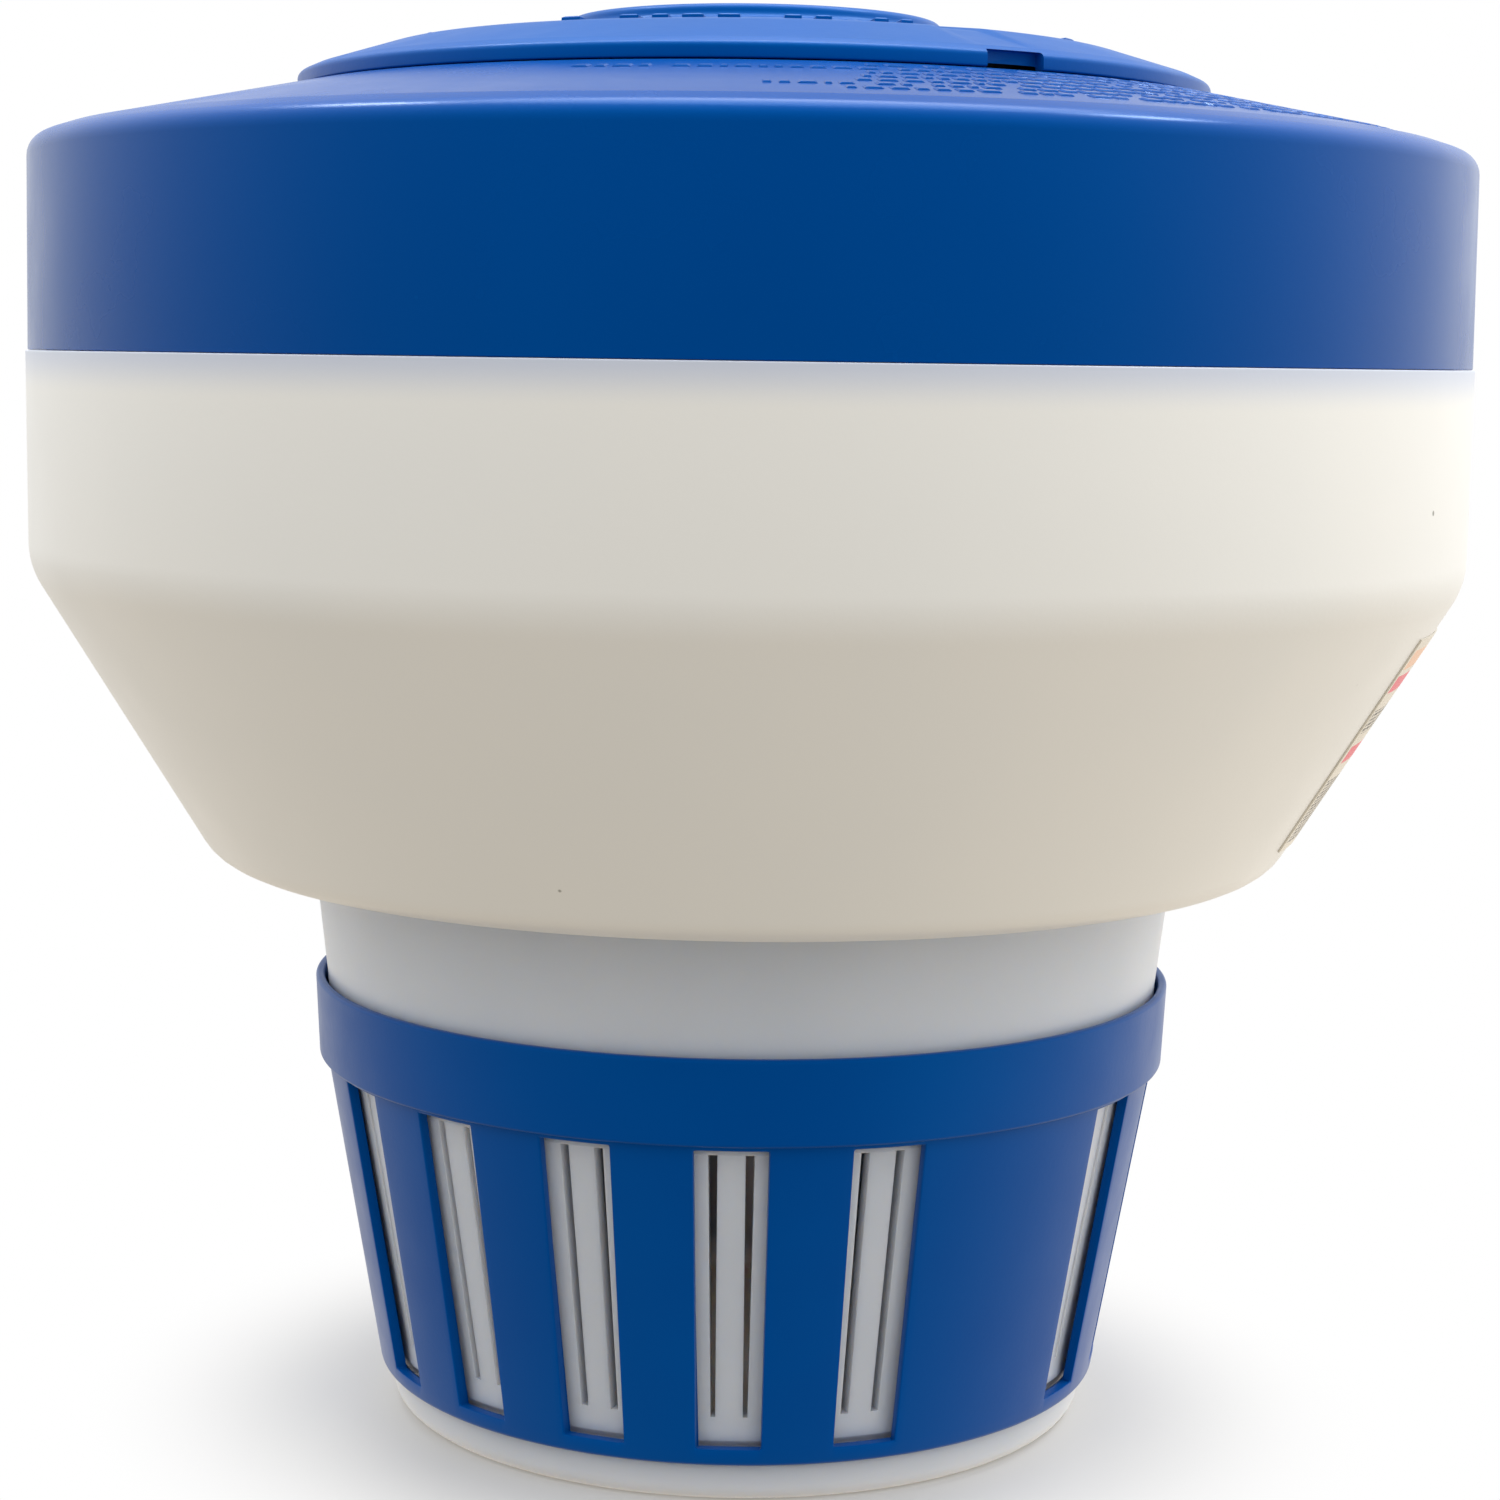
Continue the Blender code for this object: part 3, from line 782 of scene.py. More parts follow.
@dataclass
class TopCover:
    """The blue cover: a deep skirt, a sloping top with raised notes, and the threaded mouth."""

    datum: Datum
    wall: float = 2.2 * MM
    skirt: float = 29.6 * MM
    shoulder_width: float = 4.5 * MM
    shoulder_drop: float = 1.5 * MM
    shoulder_fillet: float = 4.2 * MM
    mouth: float = 54.5 * MM
    mouth_wall: float = 3.0 * MM
    seat_radius: float = 64.7 * MM
    rib_depth: float = 1.7 * MM
    rib_thickness: float = 2.0 * MM
    lead: float = 72.0 * MM
    starts: int = 4
    rib_bearing: float = math.radians(1.25)
    rows: tuple[tuple[float, float, float], ...] = (
        (68.2, 12.0, 104.0),
        (71.8, -16.5, 107.0),
        (75.4, 11.0, 109.0),
        (79.0, 10.0, 110.0),
        (82.6, 9.0, 111.0),
        (86.2, 1.5, 111.0),
        (89.8, 7.5, 107.0),
        (71.8, 172.0, 212.0),
        (75.4, 176.0, 208.0),
    )  # radius in millimetres, first and last bearing in degrees

    def outline(self) -> list[Corner]:
        """Skirt, inside, mouth and slope."""
        d = self.datum
        shoulder = d.seam + self.skirt
        skirt_top = shoulder - self.shoulder_drop
        inside, roof = d.float_radius - self.wall, d.seat - self.wall
        mouth_out = self.mouth + self.mouth_wall
        edge = d.float_radius - self.shoulder_width
        return [
            Corner(d.float_radius, skirt_top, self.shoulder_fillet),
            Corner(d.float_radius, d.seam + d.weld / 2, 0.2 * MM),
            Corner(inside, d.seam + d.weld / 2, 0.2 * MM),
            Corner(inside, skirt_top - self.wall, 3 * MM),
            Corner(edge, shoulder - self.wall, 3 * MM),
            Corner(self.seat_radius, roof),
            Corner(mouth_out, roof, 1.0 * MM),
            Corner(mouth_out, d.mouth_low + self.wall, 1.0 * MM),
            Corner(d.flange_radius, d.mouth_low + self.wall, 0.4 * MM),
            Corner(d.flange_radius, d.mouth_low, 0.4 * MM),
            Corner(self.mouth, d.mouth_low, 0.4 * MM),
            Corner(self.mouth, d.seat, 0.5 * MM),
            Corner(self.seat_radius, d.seat, 1.0 * MM),
            Corner(edge, shoulder, self.shoulder_fillet),
        ]

    def ribs(self) -> Object:
        """The mouth's four helical ribs, one modelled and three copied."""
        d = self.datum
        low = d.mouth_low + 1.5 * self.rib_thickness
        climb = d.seat - 1.5 * self.rib_thickness - low
        arc = climb * math.tau / self.lead
        return helical_bars(
            "mouth_ribs", self.mouth - self.rib_depth, self.mouth + MM, self.rib_thickness,
            low, self.rib_bearing, arc, climb, self.starts,
        )

    def notes(self) -> Object:
        """Raised bars in rows on the slope."""
        d = self.datum
        marks = Marks(seed=11)
        bar = marks.blank()
        edge = d.float_radius - self.shoulder_width
        fall = self.skirt + d.seam - d.seat
        slope = math.atan2(-fall, edge - self.seat_radius)
        made: list[Object] = []
        for radius, start, end in self.rows:
            at = radius * MM
            height = d.seat + fall * (at - self.seat_radius) / (edge - self.seat_radius)
            made += marks.row(bar, at, height, slope, math.radians(start), math.radians(end))
        bpy.data.objects.remove(bar)
        return join("cover_notes", made)

    def build(self) -> list[Object]:
        """Make the cover, its ribs and its raised notes."""
        cover = turned("cover_moulding", self.outline())
        smooth(cover)
        ribs, notes = self.ribs(), self.notes()
        smooth(ribs)
        return [
            mount(cover, "housing", Palette.COVER, "top_cover"),
            mount(ribs, "housing", Palette.COVER),
            mount(notes, "housing", Palette.COVER),
        ]


def helical_bars(
    name: str, inner: float, outer: float, thickness: float, height: float,
    bearing: float, arc: float, climb: float, count: int,
) -> Object:
    """Bars of a multi-start thread: a plane spun along a helix, bevelled, then copied.

    Args:
        name: the piece's name.
        inner: its inner radius.
        outer: its outer radius.
        thickness: its height.
        height: level of its middle where it begins.
        bearing: where the first one begins.
        arc: how far each goes round.
        climb: how far each climbs.
        count: how many starts there are.

    Returns:
        The bars as one object.
    """
    steps = max(4, round(math.degrees(arc)))
    bpy.ops.object.select_all(action="DESELECT")
    bpy.ops.mesh.primitive_plane_add(size=1, location=(0, 0, 0), rotation=(0, math.pi / 2, 0))
    bar = new_piece(name)
    bpy.ops.object.transform_apply(location=False, rotation=True, scale=False)
    enter_edit("FACE")
    bpy.ops.mesh.select_all(action="SELECT")
    bpy.ops.transform.resize(value=(1, outer - inner, thickness), center_override=(0, 0, 0))
    bpy.ops.transform.translate(value=at_bearing(0, (inner + outer) / 2, height))
    spin(steps, -arc)
    close_up(bar)
    for vert in bar.data.vertices:
        share = max(0.0, bearing_of(vert.co)) / arc
        vert.co.z += climb * share
    bar.data.transform(Matrix.Rotation(bearing, 4, "Z"))
    apply_modifier(bar, "BEVEL", width=0.35 * MM, segments=2, limit_method="ANGLE")
    others = [
        copy_to(bar, Matrix.Rotation(math.tau * i / count, 4, "Z")) for i in range(1, count)
    ]
    return join(name, [bar, *others])


@dataclass
class Lid:
    """The blue screw lid: a low dome with a raised disc, a rim and a threaded plug."""

    datum: Datum
    radius: float = 63.6 * MM
    rim: float = 1.9 * MM
    rim_wall: float = 1.7 * MM
    brow: tuple[float, float] = (2.0 * MM, 0.9 * MM)
    knee: tuple[float, float] = (12.5 * MM, 4.2 * MM)
    knee_fillet: float = 14.0 * MM
    disc: float = 26.0 * MM
    disc_rise: float = 2.0 * MM
    wall: float = 1.9 * MM
    plug: float = 52.2 * MM
    plug_wall: float = 2.0 * MM
    plug_depth: float = 16.2 * MM
    inside: float = 2.2 * MM  # from the seat up to the lid's flat inside
    gasket: float = 58.1 * MM  # radius of the gasket's bed
    notch_bearing: float = math.radians(31.4)
    notch_arc: float = math.radians(7.6)
    notch_height: float = 2.2 * MM
    lug_arc: float = math.radians(12)
    lug_depth: float = 1.7 * MM
    lug_thickness: float = 2.0 * MM
    thread_gap: float = 0.4 * MM
    crown: float = 0.02 * MM  # how far the dome stands above a straight slope at the notes
    groove: float = 0.35 * MM  # shallow lane up the dome from the notch
    notes_radius: float = 47.0 * MM
    notes_half: float = 30.0  # degrees either side of a row's middle

    def outline(self) -> list[Corner]:
        """From the middle of the disc round the rim and plug to the middle below."""
        d = self.datum
        low, rim_top = d.lid_low, d.lid_low + self.rim
        disc_low = d.top - self.disc_rise
        inside = d.seat + self.inside
        rim_inside, plug_in = self.radius - self.rim_wall, self.plug - self.plug_wall
        plug_low, under = inside - self.plug_depth, disc_low - self.wall
        return [
            Corner(0, d.top),
            Corner(self.disc - 7 * MM, d.top, 3 * MM),
            Corner(self.disc, d.top - 0.15 * MM, 1.3 * MM),
            Corner(self.disc + 0.4 * MM, disc_low, 1.2 * MM),
            Corner(self.radius - self.knee[0], rim_top + self.knee[1], self.knee_fillet),
            Corner(self.radius - self.brow[0], rim_top + self.brow[1], 1.6 * MM),
            Corner(self.radius, rim_top, 0.9 * MM),
            Corner(self.radius, low, 0.25 * MM),
            Corner(rim_inside, low, 0.2 * MM),
            Corner(rim_inside, low + 0.5 * MM),
            Corner(self.gasket, inside, 0.3 * MM),
            Corner(self.plug, inside, 0.3 * MM),
            Corner(self.plug, plug_low, 0.5 * MM),
            Corner(plug_in, plug_low, 0.5 * MM),
            Corner(plug_in, inside, 1.5 * MM),
            Corner(self.disc, under, 8 * MM),
            Corner(0, under),
        ]

    def cut_notch(self, lid: Object) -> None:
        """Push the rim in and up behind the notch, with straight ends.

        Args:
            lid: the turned lid, alone in the selection.
        """
        top = self.datum.lid_low + self.notch_height
        cutter = start_piece("notch_cutter", bpy.ops.mesh.primitive_cube_add, size=1)
        width = self.notch_arc * self.radius
        size = (width, 2.4 * self.rim_wall, 2 * self.notch_height)
        bpy.ops.transform.resize(value=size, center_override=(0, 0, 0))
        bpy.ops.mesh.bevel(offset=0.25 * MM, segments=2, affect="EDGES")
        close_up(cutter)
        place = at_bearing(self.notch_bearing, self.radius, top - self.notch_height)
        turn = Matrix.Rotation(self.notch_bearing, 4, "Z")
        cutter.data.transform(Matrix.Translation(place) @ turn)
        apply_modifier(lid, "BOOLEAN", operation="DIFFERENCE", solver="EXACT", object=cutter)
        bpy.data.objects.remove(cutter)

    def sink_groove(self, lid: Object) -> None:
        """Lower the dome a little in the lane that leads up from the notch.

        Args:
            lid: the turned lid, before its notch is cut.
        """
        outer, inner = self.radius - self.brow[0], self.disc + 4 * MM
        half = self.notch_arc / 2
        low = self.datum.lid_low + self.rim
        for vert in lid.data.vertices:
            radius = radius_of(vert.co)
            off = away(bearing_of(vert.co), self.notch_bearing)
            if inner < radius < outer and off < half and vert.co.z > low:
                ends = min(1.0, (outer - radius) / (3 * MM), (radius - inner) / (6 * MM))
                vert.co.z -= self.groove * ends

    def lugs(self) -> Object:
        """The plug's four lugs, which ride under the mouth's ribs."""
        height = self.datum.mouth_low + 0.5 * self.lug_thickness - self.thread_gap
        climb = TopCover.lead * self.lug_arc / math.tau
        return helical_bars(
            "lid_lugs", self.plug - MM, self.plug + self.lug_depth, self.lug_thickness,
            height, TopCover.rib_bearing, self.lug_arc, climb, TopCover.starts,
        )

    def notes(self) -> Object:
        """Four rows of low raised dashes on the dome."""
        d = self.datum
        length, height = (1.6 * MM, 2.8 * MM), 0.3 * MM
        marks = Marks(seed=5, length=length, space=1.7 * MM, breadth=2.0 * MM, height=height)
        bar = marks.blank()
        radius = self.notes_radius
        rise = d.lid_low + self.rim + self.knee[1]
        disc_low = d.top - self.disc_rise
        run = self.radius - self.knee[0] - self.disc
        slope = math.atan2(rise - disc_low, run)
        height = disc_low + (rise - disc_low) * (radius - self.disc) / run
        made: list[Object] = []
        for middle in (0.0, 90.0, 180.0, 270.0):
            start = math.radians(middle - self.notes_half)
            end = math.radians(middle + self.notes_half)
            made += marks.row(bar, radius, height + self.crown, slope, start, end)
        bpy.data.objects.remove(bar)
        return join("lid_notes", made)

    def build(self) -> list[Object]:
        """Make the lid, its lugs and its raised notes."""
        lid = turned("lid_moulding", self.outline(), closed=False)
        self.sink_groove(lid)
        self.cut_notch(lid)
        smooth(lid)
        lugs, notes = self.lugs(), self.notes()
        smooth(lugs)
        return [
            mount(lid, "lid", Palette.LID, "lid"),
            mount(lugs, "lid", Palette.LID),
            mount(notes, "lid", Palette.LID),
        ]


@dataclass
class Gasket:
    """A flat rubber ring with rounded edges."""

    name: str
    node: str
    body: str

    def build(self) -> Object:
        """Turn the ring in its CAD node's box."""
        low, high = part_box(self.node)
        mesh = bpy.data.objects[self.node].data
        inner = min(radius_of(v.co) for v in mesh.vertices) + 0.05 * MM
        outer = max(high.y, -low.y)
        edge = 0.4 * MM
        corners = [
            Corner(outer, high.z, edge),
            Corner(outer, low.z, edge),
            Corner(inner, low.z, edge),
            Corner(inner, high.z, edge),
        ]
        ring = turned(self.name, corners)
        smooth(ring)
        return mount(ring, self.body, Palette.RUBBER, self.node)


@dataclass
class Canister:
    """The white tablet canister: flange, straight tube, step and slotted tapered end."""

    datum: Datum
    wall: float = 1.8 * MM
    floor: float = 2.6 * MM
    tube: float = 61.1 * MM
    neck: float = 59.1 * MM
    collar_foot: float = 58.5 * MM
    skirt_top_radius: float = 56.4 * MM
    skirt_low_radius: float = 48.54 * MM
    foot: float = 49.44 * MM
    foot_height: float = 5.0 * MM
    skirt: float = 44.1 * MM
    flange: float = 1.8 * MM
    land: float = 0.7 * MM  # how far the slotted wall stands out between the ring's ends
    steps: int = 600
    slot_offset: float = math.radians(2.4)
    slot_arc: float = math.radians(1.2)
    slot_taper: float = math.radians(0.24)  # how far each side leans in at the foot
    slot_sill: float = 6.1 * MM  # above the ring's lower edge

    def outline(self) -> list[Corner]:
        """From the middle of the floor up the inside, over the flange and down the outside."""
        d = self.datum
        step = d.ring_low + self.skirt
        low, high = step - d.running_gap, step + d.running_gap
        return [
            Corner(0, self.floor),
            Corner(self.skirt_low_radius - self.wall, self.floor, 1.5 * MM),
            Corner(self.skirt_low_radius - self.wall + 0.35 * MM, self.sill()),
            Corner(self.skirt_top_radius - self.wall, low - 1.1 * MM),
            Corner(self.skirt_top_radius - self.wall, low, 1.0 * MM),
            Corner(self.neck - self.wall, d.collar_top, 4 * MM),
            Corner(self.tube - self.wall, d.underside, 6 * MM),
            Corner(self.tube - self.wall, d.flange_top, 0.4 * MM),
            Corner(d.flange_radius, d.flange_top, 0.4 * MM),
            Corner(d.flange_radius, d.flange_top - self.flange, 0.4 * MM),
            Corner(self.tube, d.flange_top - self.flange, 0.4 * MM),
            Corner(self.tube, d.underside),
            Corner(self.neck, d.collar_top),
            Corner(self.collar_foot, high, 0.6 * MM),
            Corner(self.skirt_top_radius, low - 0.1 * MM, 0.4 * MM),
            Corner(self.skirt_top_radius + self.land - 0.2 * MM, low - 1.1 * MM),
            Corner(self.skirt_low_radius + self.land + 0.85 * MM, self.sill()),
            Corner(self.skirt_low_radius + self.land + 0.5 * MM, self.sill() - 3.2 * MM),
            Corner(self.skirt_low_radius, self.sill() - 4.2 * MM, 0.3 * MM),
            Corner(self.skirt_low_radius, self.foot_height, 0.3 * MM),
            Corner(self.foot, self.foot_height, 0.25 * MM),
            Corner(self.foot, 0, 2.6 * MM),
            Corner(self.foot - 9 * MM, 0, 0.4 * MM),
            Corner(self.foot - 9.5 * MM, 0.3 * MM, 0.4 * MM),
            Corner(0, 0.3 * MM),
        ]

    def sill(self) -> float:
        """Level of the slots' lower ends."""
        return self.datum.ring_low + self.slot_sill

    def head(self) -> float:
        """Level of the slots' upper ends."""
        return self.datum.ring_low + self.skirt - self.datum.running_gap - 1.1 * MM

    def slots(self) -> list[float]:
        """Bearings of the slots, two behind each window."""
        return [w + side * self.slot_offset for w in self.datum.windows() for side in (-1, 1)]

    def in_slot(self, centre: Vector) -> bool:
        """Whether a face of the wall lies in a slot."""
        if not self.sill() < centre.z < self.head():
            return False
        bearing = bearing_of(centre)
        return any(away(bearing, slot) < self.slot_arc / 2 for slot in self.slots())

    def build(self) -> Object:
        """Turn the canister, open its slots through the wall and dress it."""
        canister = turned("canister_moulding", self.outline(), closed=False, steps=self.steps)
        cut_through(canister, self.in_slot)
        sill = self.sill()
        corners = [v for v in canister.data.vertices if abs(v.co.z - sill) <= 0.2 * MM]
        draw_in(corners, self.slots(), self.slot_arc / 2, math.radians(0.1), self.slot_taper)
        smooth(canister)
        return mount(canister, "housing", Palette.CANISTER, "canister")


def draw_in(
    verts: Iterable[Vertex], openings: list[float], half: float, reach: float, turn: float
) -> None:
    """Turn the vertices beside openings in a wall towards the openings' middles.

    Args:
        verts: the vertices to look at.
        openings: bearings of the openings' middles.
        half: half the openings' arc.
        reach: how far from an opening's side a vertex may lie.
        turn: how far to turn it.
    """
    for vert in verts:
        bearing = bearing_of(vert.co)
        for opening in openings:
            off = offset(bearing, opening)
            if abs(abs(off) - half) < reach:
                vert.co = Matrix.Rotation(-math.copysign(turn, off), 3, "Z") @ vert.co
                break


def cut_through(piece: Object, wanted: Callable[[Vector], bool]) -> None:
    """Open windows in a wall: delete its faces on both sides and bridge each pair of holes.

    Args:
        piece: the shell.
        wanted: called with a face's centre, returns whether it lies in a window.
    """
    bpy.context.view_layer.objects.active = piece
    enter_edit("FACE")
    pick_faces(piece, lambda centre, normal: abs(normal.z) < 0.9 and wanted(centre))
    bpy.ops.mesh.delete(type="FACE")
    bpy.ops.mesh.select_mode(type="EDGE")
    bpy.ops.mesh.select_all(action="DESELECT")
    bpy.ops.mesh.select_non_manifold(
        extend=False, use_wire=False, use_multi_face=False, use_non_contiguous=False,
        use_verts=False,
    )
    bpy.ops.mesh.bridge_edge_loops(type="PAIRS")
    close_up(piece)


@dataclass
class FlowRing:
    """The blue ring round the canister's foot: a plain collar over a windowed taper."""

    datum: Datum
    skirt: float = 44.1 * MM
    skirt_wall: float = 2.2 * MM
    collar_wall: float = 1.2 * MM
    skirt_top: float = 56.9 * MM  # inner radii
    skirt_low: float = 49.12 * MM
    collar_low: float = 59.0 * MM
    collar_top: float = 59.6 * MM
    crease: float = 0.2 * MM
    sill: float = 2.4 * MM
    head: float = 0.6 * MM
    half_window: float = math.radians(5)
    inset: float = math.radians(0.3)  # how far the windows' sides stand in from there
    relief: float = 0.8 * MM  # how much thinner the wall is between sill and head
    edge: float = 0.25 * MM

    def outline(self) -> list[Corner]:
        """Down the outside and up the inside, with corners at the windows' ends."""
        d = self.datum
        top = d.ring_low + self.skirt
        sill, head = d.ring_low + self.sill, top - self.head

        def taper(height: float) -> float:
            """The inner radius of the taper at a height."""
            share = (height - d.ring_low) / self.skirt
            return self.skirt_low + (self.skirt_top - self.skirt_low) * share

        return [
            Corner(self.collar_top + self.collar_wall, d.collar_top, 0.5 * MM),
            Corner(self.collar_low + self.collar_wall, top + self.crease, 0.5 * MM),
            Corner(self.skirt_top + self.skirt_wall, top, 0.25 * MM),
            Corner(taper(head) + self.skirt_wall, head),
            Corner(taper(sill) + self.skirt_wall, sill),
            Corner(self.skirt_low + self.skirt_wall, d.ring_low, 0.8 * MM),
            Corner(self.skirt_low, d.ring_low, 0.4 * MM),
            Corner(taper(sill - 0.6 * MM), sill - 0.6 * MM),
            Corner(taper(sill) + self.relief, sill),
            Corner(taper(head - 0.3 * MM) + self.relief, head),
            Corner(self.skirt_top, top - d.running_gap, 0.5 * MM),
            Corner(self.collar_low, top + d.running_gap, 0.5 * MM),
            Corner(self.collar_top, d.collar_top, 0.4 * MM),
        ]

    def in_window(self, centre: Vector) -> bool:
        """Whether a face of the taper lies in a window."""
        d = self.datum
        if not d.ring_low + self.sill < centre.z < d.ring_low + self.skirt - self.head:
            return False
        return any(away(bearing_of(centre), w) < self.half_window for w in d.windows())

    def build(self) -> Object:
        """Turn the ring, open its windows, break their edges and dress it."""
        ring = turned("flow_ring_moulding", self.outline())
        cut_through(ring, self.in_window)
        sides = ring.data.vertices
        draw_in(sides, self.datum.windows(), self.half_window, math.radians(0.4), self.inset)
        apply_modifier(
            ring, "BEVEL", width=self.edge, segments=2, limit_method="ANGLE",
            angle_limit=math.radians(60),
        )
        smooth(ring)
        return mount(ring, "flow_ring", Palette.RING, "flow_ring")


@dataclass
class Label:
    """A printed film on the cone, spun from a line that lies along it."""

    UV_NAME = "label_uv"

    shell: FloatShell
    bearing: float = math.radians(90)
    arc: float = math.radians(46)
    lift: float = 0.02 * MM
    thickness: float = 0.24 * MM
    rows: int = 24
    columns: int = 48

    def build(self) -> Object:
        """Spin the film, map it, give it its thickness and dress it."""
        low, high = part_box("label")
        first = at_bearing(0, self.shell.cone_radius(low.z) + self.lift, low.z)
        last = at_bearing(0, self.shell.cone_radius(high.z) + self.lift, high.z)
        points = [first.lerp(last, i / self.rows) for i in range(self.rows + 1)]
        film = draw_line("cone_label", points)
        spin(self.columns, -self.arc)
        close_up(film)
        start = self.bearing - self.arc / 2
        film.data.transform(Matrix.Rotation(start, 4, "Z"))
        self.face_out(film)
        layer = film.data.uv_layers.new(name=self.UV_NAME)
        for loop in film.data.loops:
            at = film.data.vertices[loop.vertex_index].co
            across = (bearing_of(at) - start) % math.tau / self.arc
            layer.data[loop.index].uv = (across, (at.z - low.z) / (high.z - low.z))
        apply_modifier(film, "SOLIDIFY", thickness=self.thickness, offset=1)
        smooth(film)
        return mount(film, "housing", Palette.FILM, "label")

    def face_out(self, film: Object) -> None:
        """Turn the sheet's faces away from the axis.

        Args:
            film: the single sheet.
        """
        face = film.data.polygons[0]
        outwards = Vector((face.center.x, face.center.y, 0))
        if face.normal.dot(outwards) < 0:
            enter_edit("FACE")
            bpy.ops.mesh.select_all(action="SELECT")
            bpy.ops.mesh.flip_normals()
            bpy.ops.object.mode_set(mode="OBJECT")


# ---------------------------------------------------------------------------- studio


@dataclass
class Studio:
    """A pale floor in a plain white surround, soft light and the camera."""

    datum: Datum
    floor_radius: float = 2.6
    near: float = 0.045  # where the floor begins to turn white, and where it is white
    far: float = 0.095
    background: float = 1.0
    ambient: float = 0.985
    sky: float = 0.68
    side: float = 0.15
    back: float = 0.13
    shade: float = 0.5  # how much darker it is in front of the object
    shade_power: float = 4.0  # how narrow that darker part is
    dip: float = 1.1  # how much darker it is high behind the object
    dip_at: float = math.radians(35)
    dip_power: float = 12.0
    below: tuple[float, ...] = (1.65, 1.45, 1.18, 1)  # tint of the light from below
    above: tuple[float, ...] = (0.985, 0.995, 1.0, 1)
    distance: float = 0.4401
    height: float = 0.1485
    pitch: float = math.radians(4.99)
    roll: float = math.radians(0.82)
    bearing: float = math.radians(0.92)
    lens: float = 74.2
    shift: tuple[float, float] = (0.0024, -0.0820)

    def hide(self, piece: Object, *rays: str) -> None:
        """Let some kinds of ray pass through a piece."""
        for ray in rays:
            setattr(piece, "visible_" + ray, False)

    def floor(self) -> Object:
        """A round board, level with the object's foot."""
        round_board = {"vertices": 128, "radius": self.floor_radius, "fill_type": "NGON"}
        board = start_piece("studio_floor", bpy.ops.mesh.primitive_circle_add, **round_board)
        bpy.ops.mesh.inset(thickness=self.floor_radius * 0.6)
        bpy.ops.object.mode_set(mode="OBJECT")
        board.data.materials.append(self.white_out())
        self.hide(board, "diffuse", "glossy", "transmission")
        return board

    def white_out(self) -> Material:
        """Painted board that turns into even white away from the object."""
        material = Palette.FLOOR.value.make()
        tree = material.node_tree
        paint = next(n for n in tree.nodes if n.type == "BSDF_PRINCIPLED")
        end = next(n for n in tree.nodes if n.type == "OUTPUT_MATERIAL")
        place = add_node(tree, "ShaderNodeTexCoord", {}).outputs["Object"]
        off = add_node(tree, "ShaderNodeVectorMath", {"Vector": place}, operation="LENGTH")
        share = ramp(tree, off.outputs["Value"], self.near, self.far, soft=True)
        white = glow(tree, self.background)
        parts = {"Fac": share, "Shader": paint.outputs[0], "Shader_001": white}
        mixed = add_node(tree, "ShaderNodeMixShader", parts)
        tree.links.new(mixed.outputs[0], end.inputs["Surface"])
        return material

    def surround(self) -> Object:
        """A white dome round the set that only the camera sees."""
        ball = {"segments": 64, "ring_count": 32, "radius": self.floor_radius * 1.4}
        dome = start_piece("studio_surround", bpy.ops.mesh.primitive_uv_sphere_add, **ball)
        bpy.ops.mesh.flip_normals()
        bpy.ops.object.mode_set(mode="OBJECT")
        bpy.ops.object.shade_smooth()
        material = bpy.data.materials.new("white_surround")
        material.use_nodes = True
        tree = material.node_tree
        tree.nodes.clear()
        add_node(tree, "ShaderNodeOutputMaterial", {"Surface": glow(tree, self.background)})
        dome.data.materials.append(material)
        self.hide(dome, "diffuse", "glossy", "transmission", "volume_scatter", "shadow")
        return dome

    def surroundings(self) -> None:
        """Even white light that grows upwards, to the right and behind the object."""
        world = bpy.data.worlds.new("studio")
        bpy.context.scene.world = world
        world.use_nodes = True
        tree = world.node_tree
        tree.nodes.clear()
        way = add_node(tree, "ShaderNodeTexCoord", {}).outputs["Generated"]
        tilt = facing(tree, way, (self.side, self.back, self.sky))
        level = maths(tree, "ADD", tilt, self.ambient)
        behind = (0, math.cos(self.dip_at), math.sin(self.dip_at))
        darker = (
            ((0, -1, 0), self.shade_power, self.shade),
            (behind, self.dip_power, self.dip),
        )
        for along, power, depth in darker:
            lobe = maths(tree, "MAXIMUM", facing(tree, way, along), 0.0)
            lobe = maths(tree, "POWER", lobe, power)
            level = maths(tree, "MULTIPLY_ADD", lobe, -depth, level)
        rise = add_node(tree, "ShaderNodeSeparateXYZ", {"Vector": way}).outputs["Z"]
        tint = blend(tree, ramp(tree, rise, -0.8, 0.0), self.below, self.above)
        light = add_node(tree, "ShaderNodeBackground", {"Color": tint, "Strength": level})
        add_node(tree, "ShaderNodeOutputWorld", {"Surface": light.outputs["Background"]})

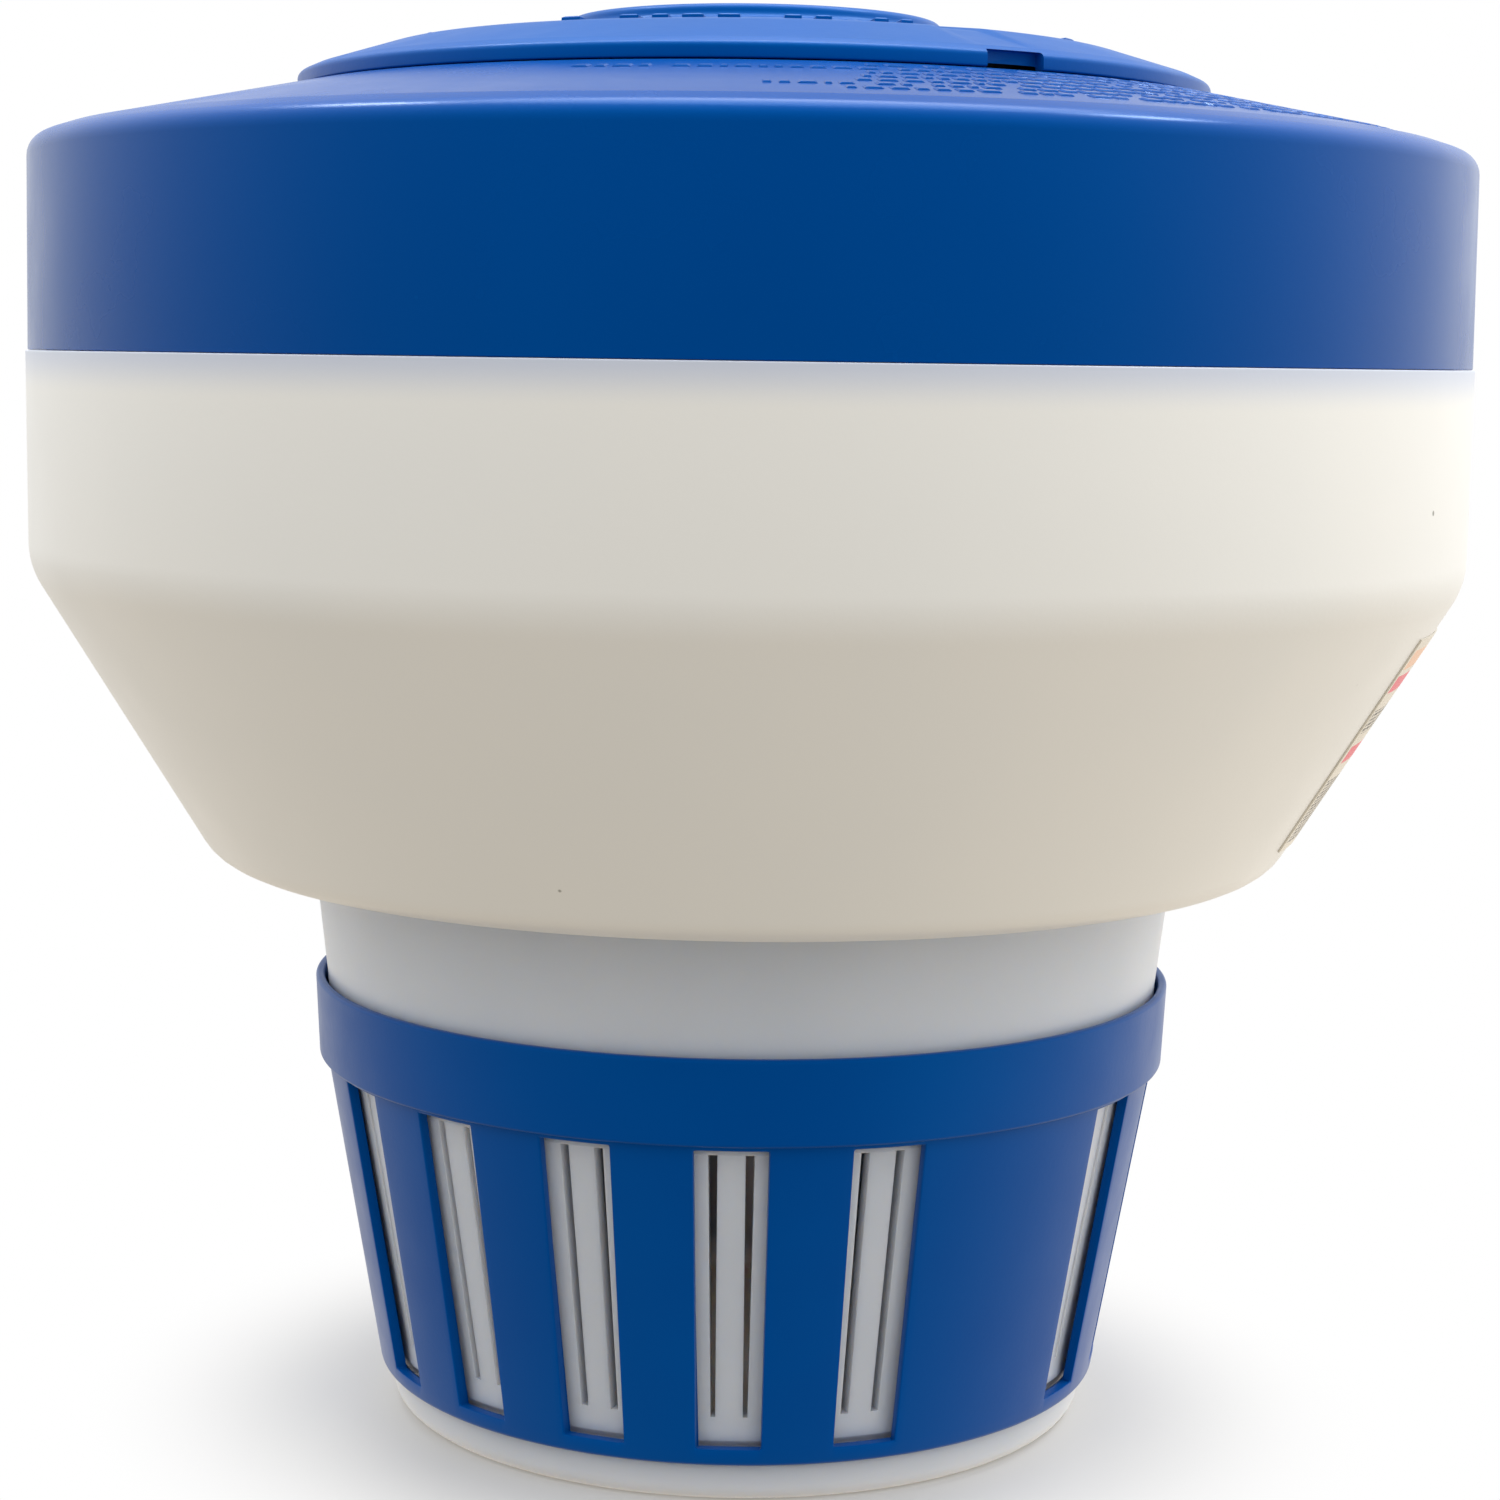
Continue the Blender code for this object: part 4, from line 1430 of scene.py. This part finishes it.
    def softbox(self, name: str, place: Vector, size: float, watts: float) -> None:
        """A round soft light that faces the middle of the object.

        Args:
            name: the light's name.
            place: where it hangs.
            size: its width, in metres.
            watts: its power.
        """
        data = bpy.data.lights.new(name, "AREA")
        data.shape, data.size, data.energy = "DISK", size, watts
        light = bpy.data.objects.new(name, data)
        bpy.context.scene.collection.objects.link(light)
        light.location = place
        aim = Vector((0, 0, self.datum.underside)) - place
        light.rotation_euler = aim.to_track_quat("-Z", "Y").to_euler()

    def camera(self) -> None:
        """The camera, a little above the seam and turned slightly down and round."""
        data = bpy.data.cameras.new("camera")
        data.lens, data.sensor_width = self.lens, 36.0
        data.shift_x, data.shift_y = self.shift
        data.clip_start, data.clip_end = 0.01, 20.0
        camera = bpy.data.objects.new("camera", data)
        bpy.context.scene.collection.objects.link(camera)
        camera.matrix_world = (
            Matrix.Rotation(self.bearing, 4, "Z")
            @ Matrix.Translation((0, -self.distance, self.height))
            @ Matrix.Rotation(math.pi / 2 - self.pitch, 4, "X")
            @ Matrix.Rotation(self.roll, 4, "Z")
        )
        bpy.context.scene.camera = camera

    def build(self) -> None:
        """Set the stage, the light, the camera and the plain colour response."""
        self.floor()
        self.surround()
        self.surroundings()
        self.softbox("top_softbox", Vector((0.05, 0.15, 1.15)), 0.9, 8.5)
        self.softbox("right_softbox", Vector((0.65, 0.15, 1.15)), 0.20, 3.4)
        self.softbox("left_softbox", Vector((-0.55, 0.30, 1.15)), 0.18, 3.0)
        self.camera()
        bpy.context.scene.view_settings.view_transform = "Standard"
        bpy.context.scene.view_settings.look = "None"


@dataclass
class Dispenser:
    """The whole object: every sub-assembly, in the order it is put together."""

    datum: Datum

    def build(self) -> None:
        """Build the sub-assemblies in turn."""
        d = self.datum
        shell = FloatShell(d)
        seal = Gasket("canister_seal_ring", "canister_seal", "housing")
        gasket = Gasket("lid_gasket_ring", "lid_gasket", "lid_gasket")
        for item in (shell, Canister(d), seal, TopCover(d), FlowRing(d), Lid(d), gasket):
            item.build()
        Label(shell).build()


def main() -> None:
    """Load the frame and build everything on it."""
    logging.basicConfig(level=logging.INFO, format="%(name)s %(message)s")
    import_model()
    datum = Datum.read()
    Dispenser(datum).build()
    Studio(datum).build()


if __name__ == "__main__":
    main()
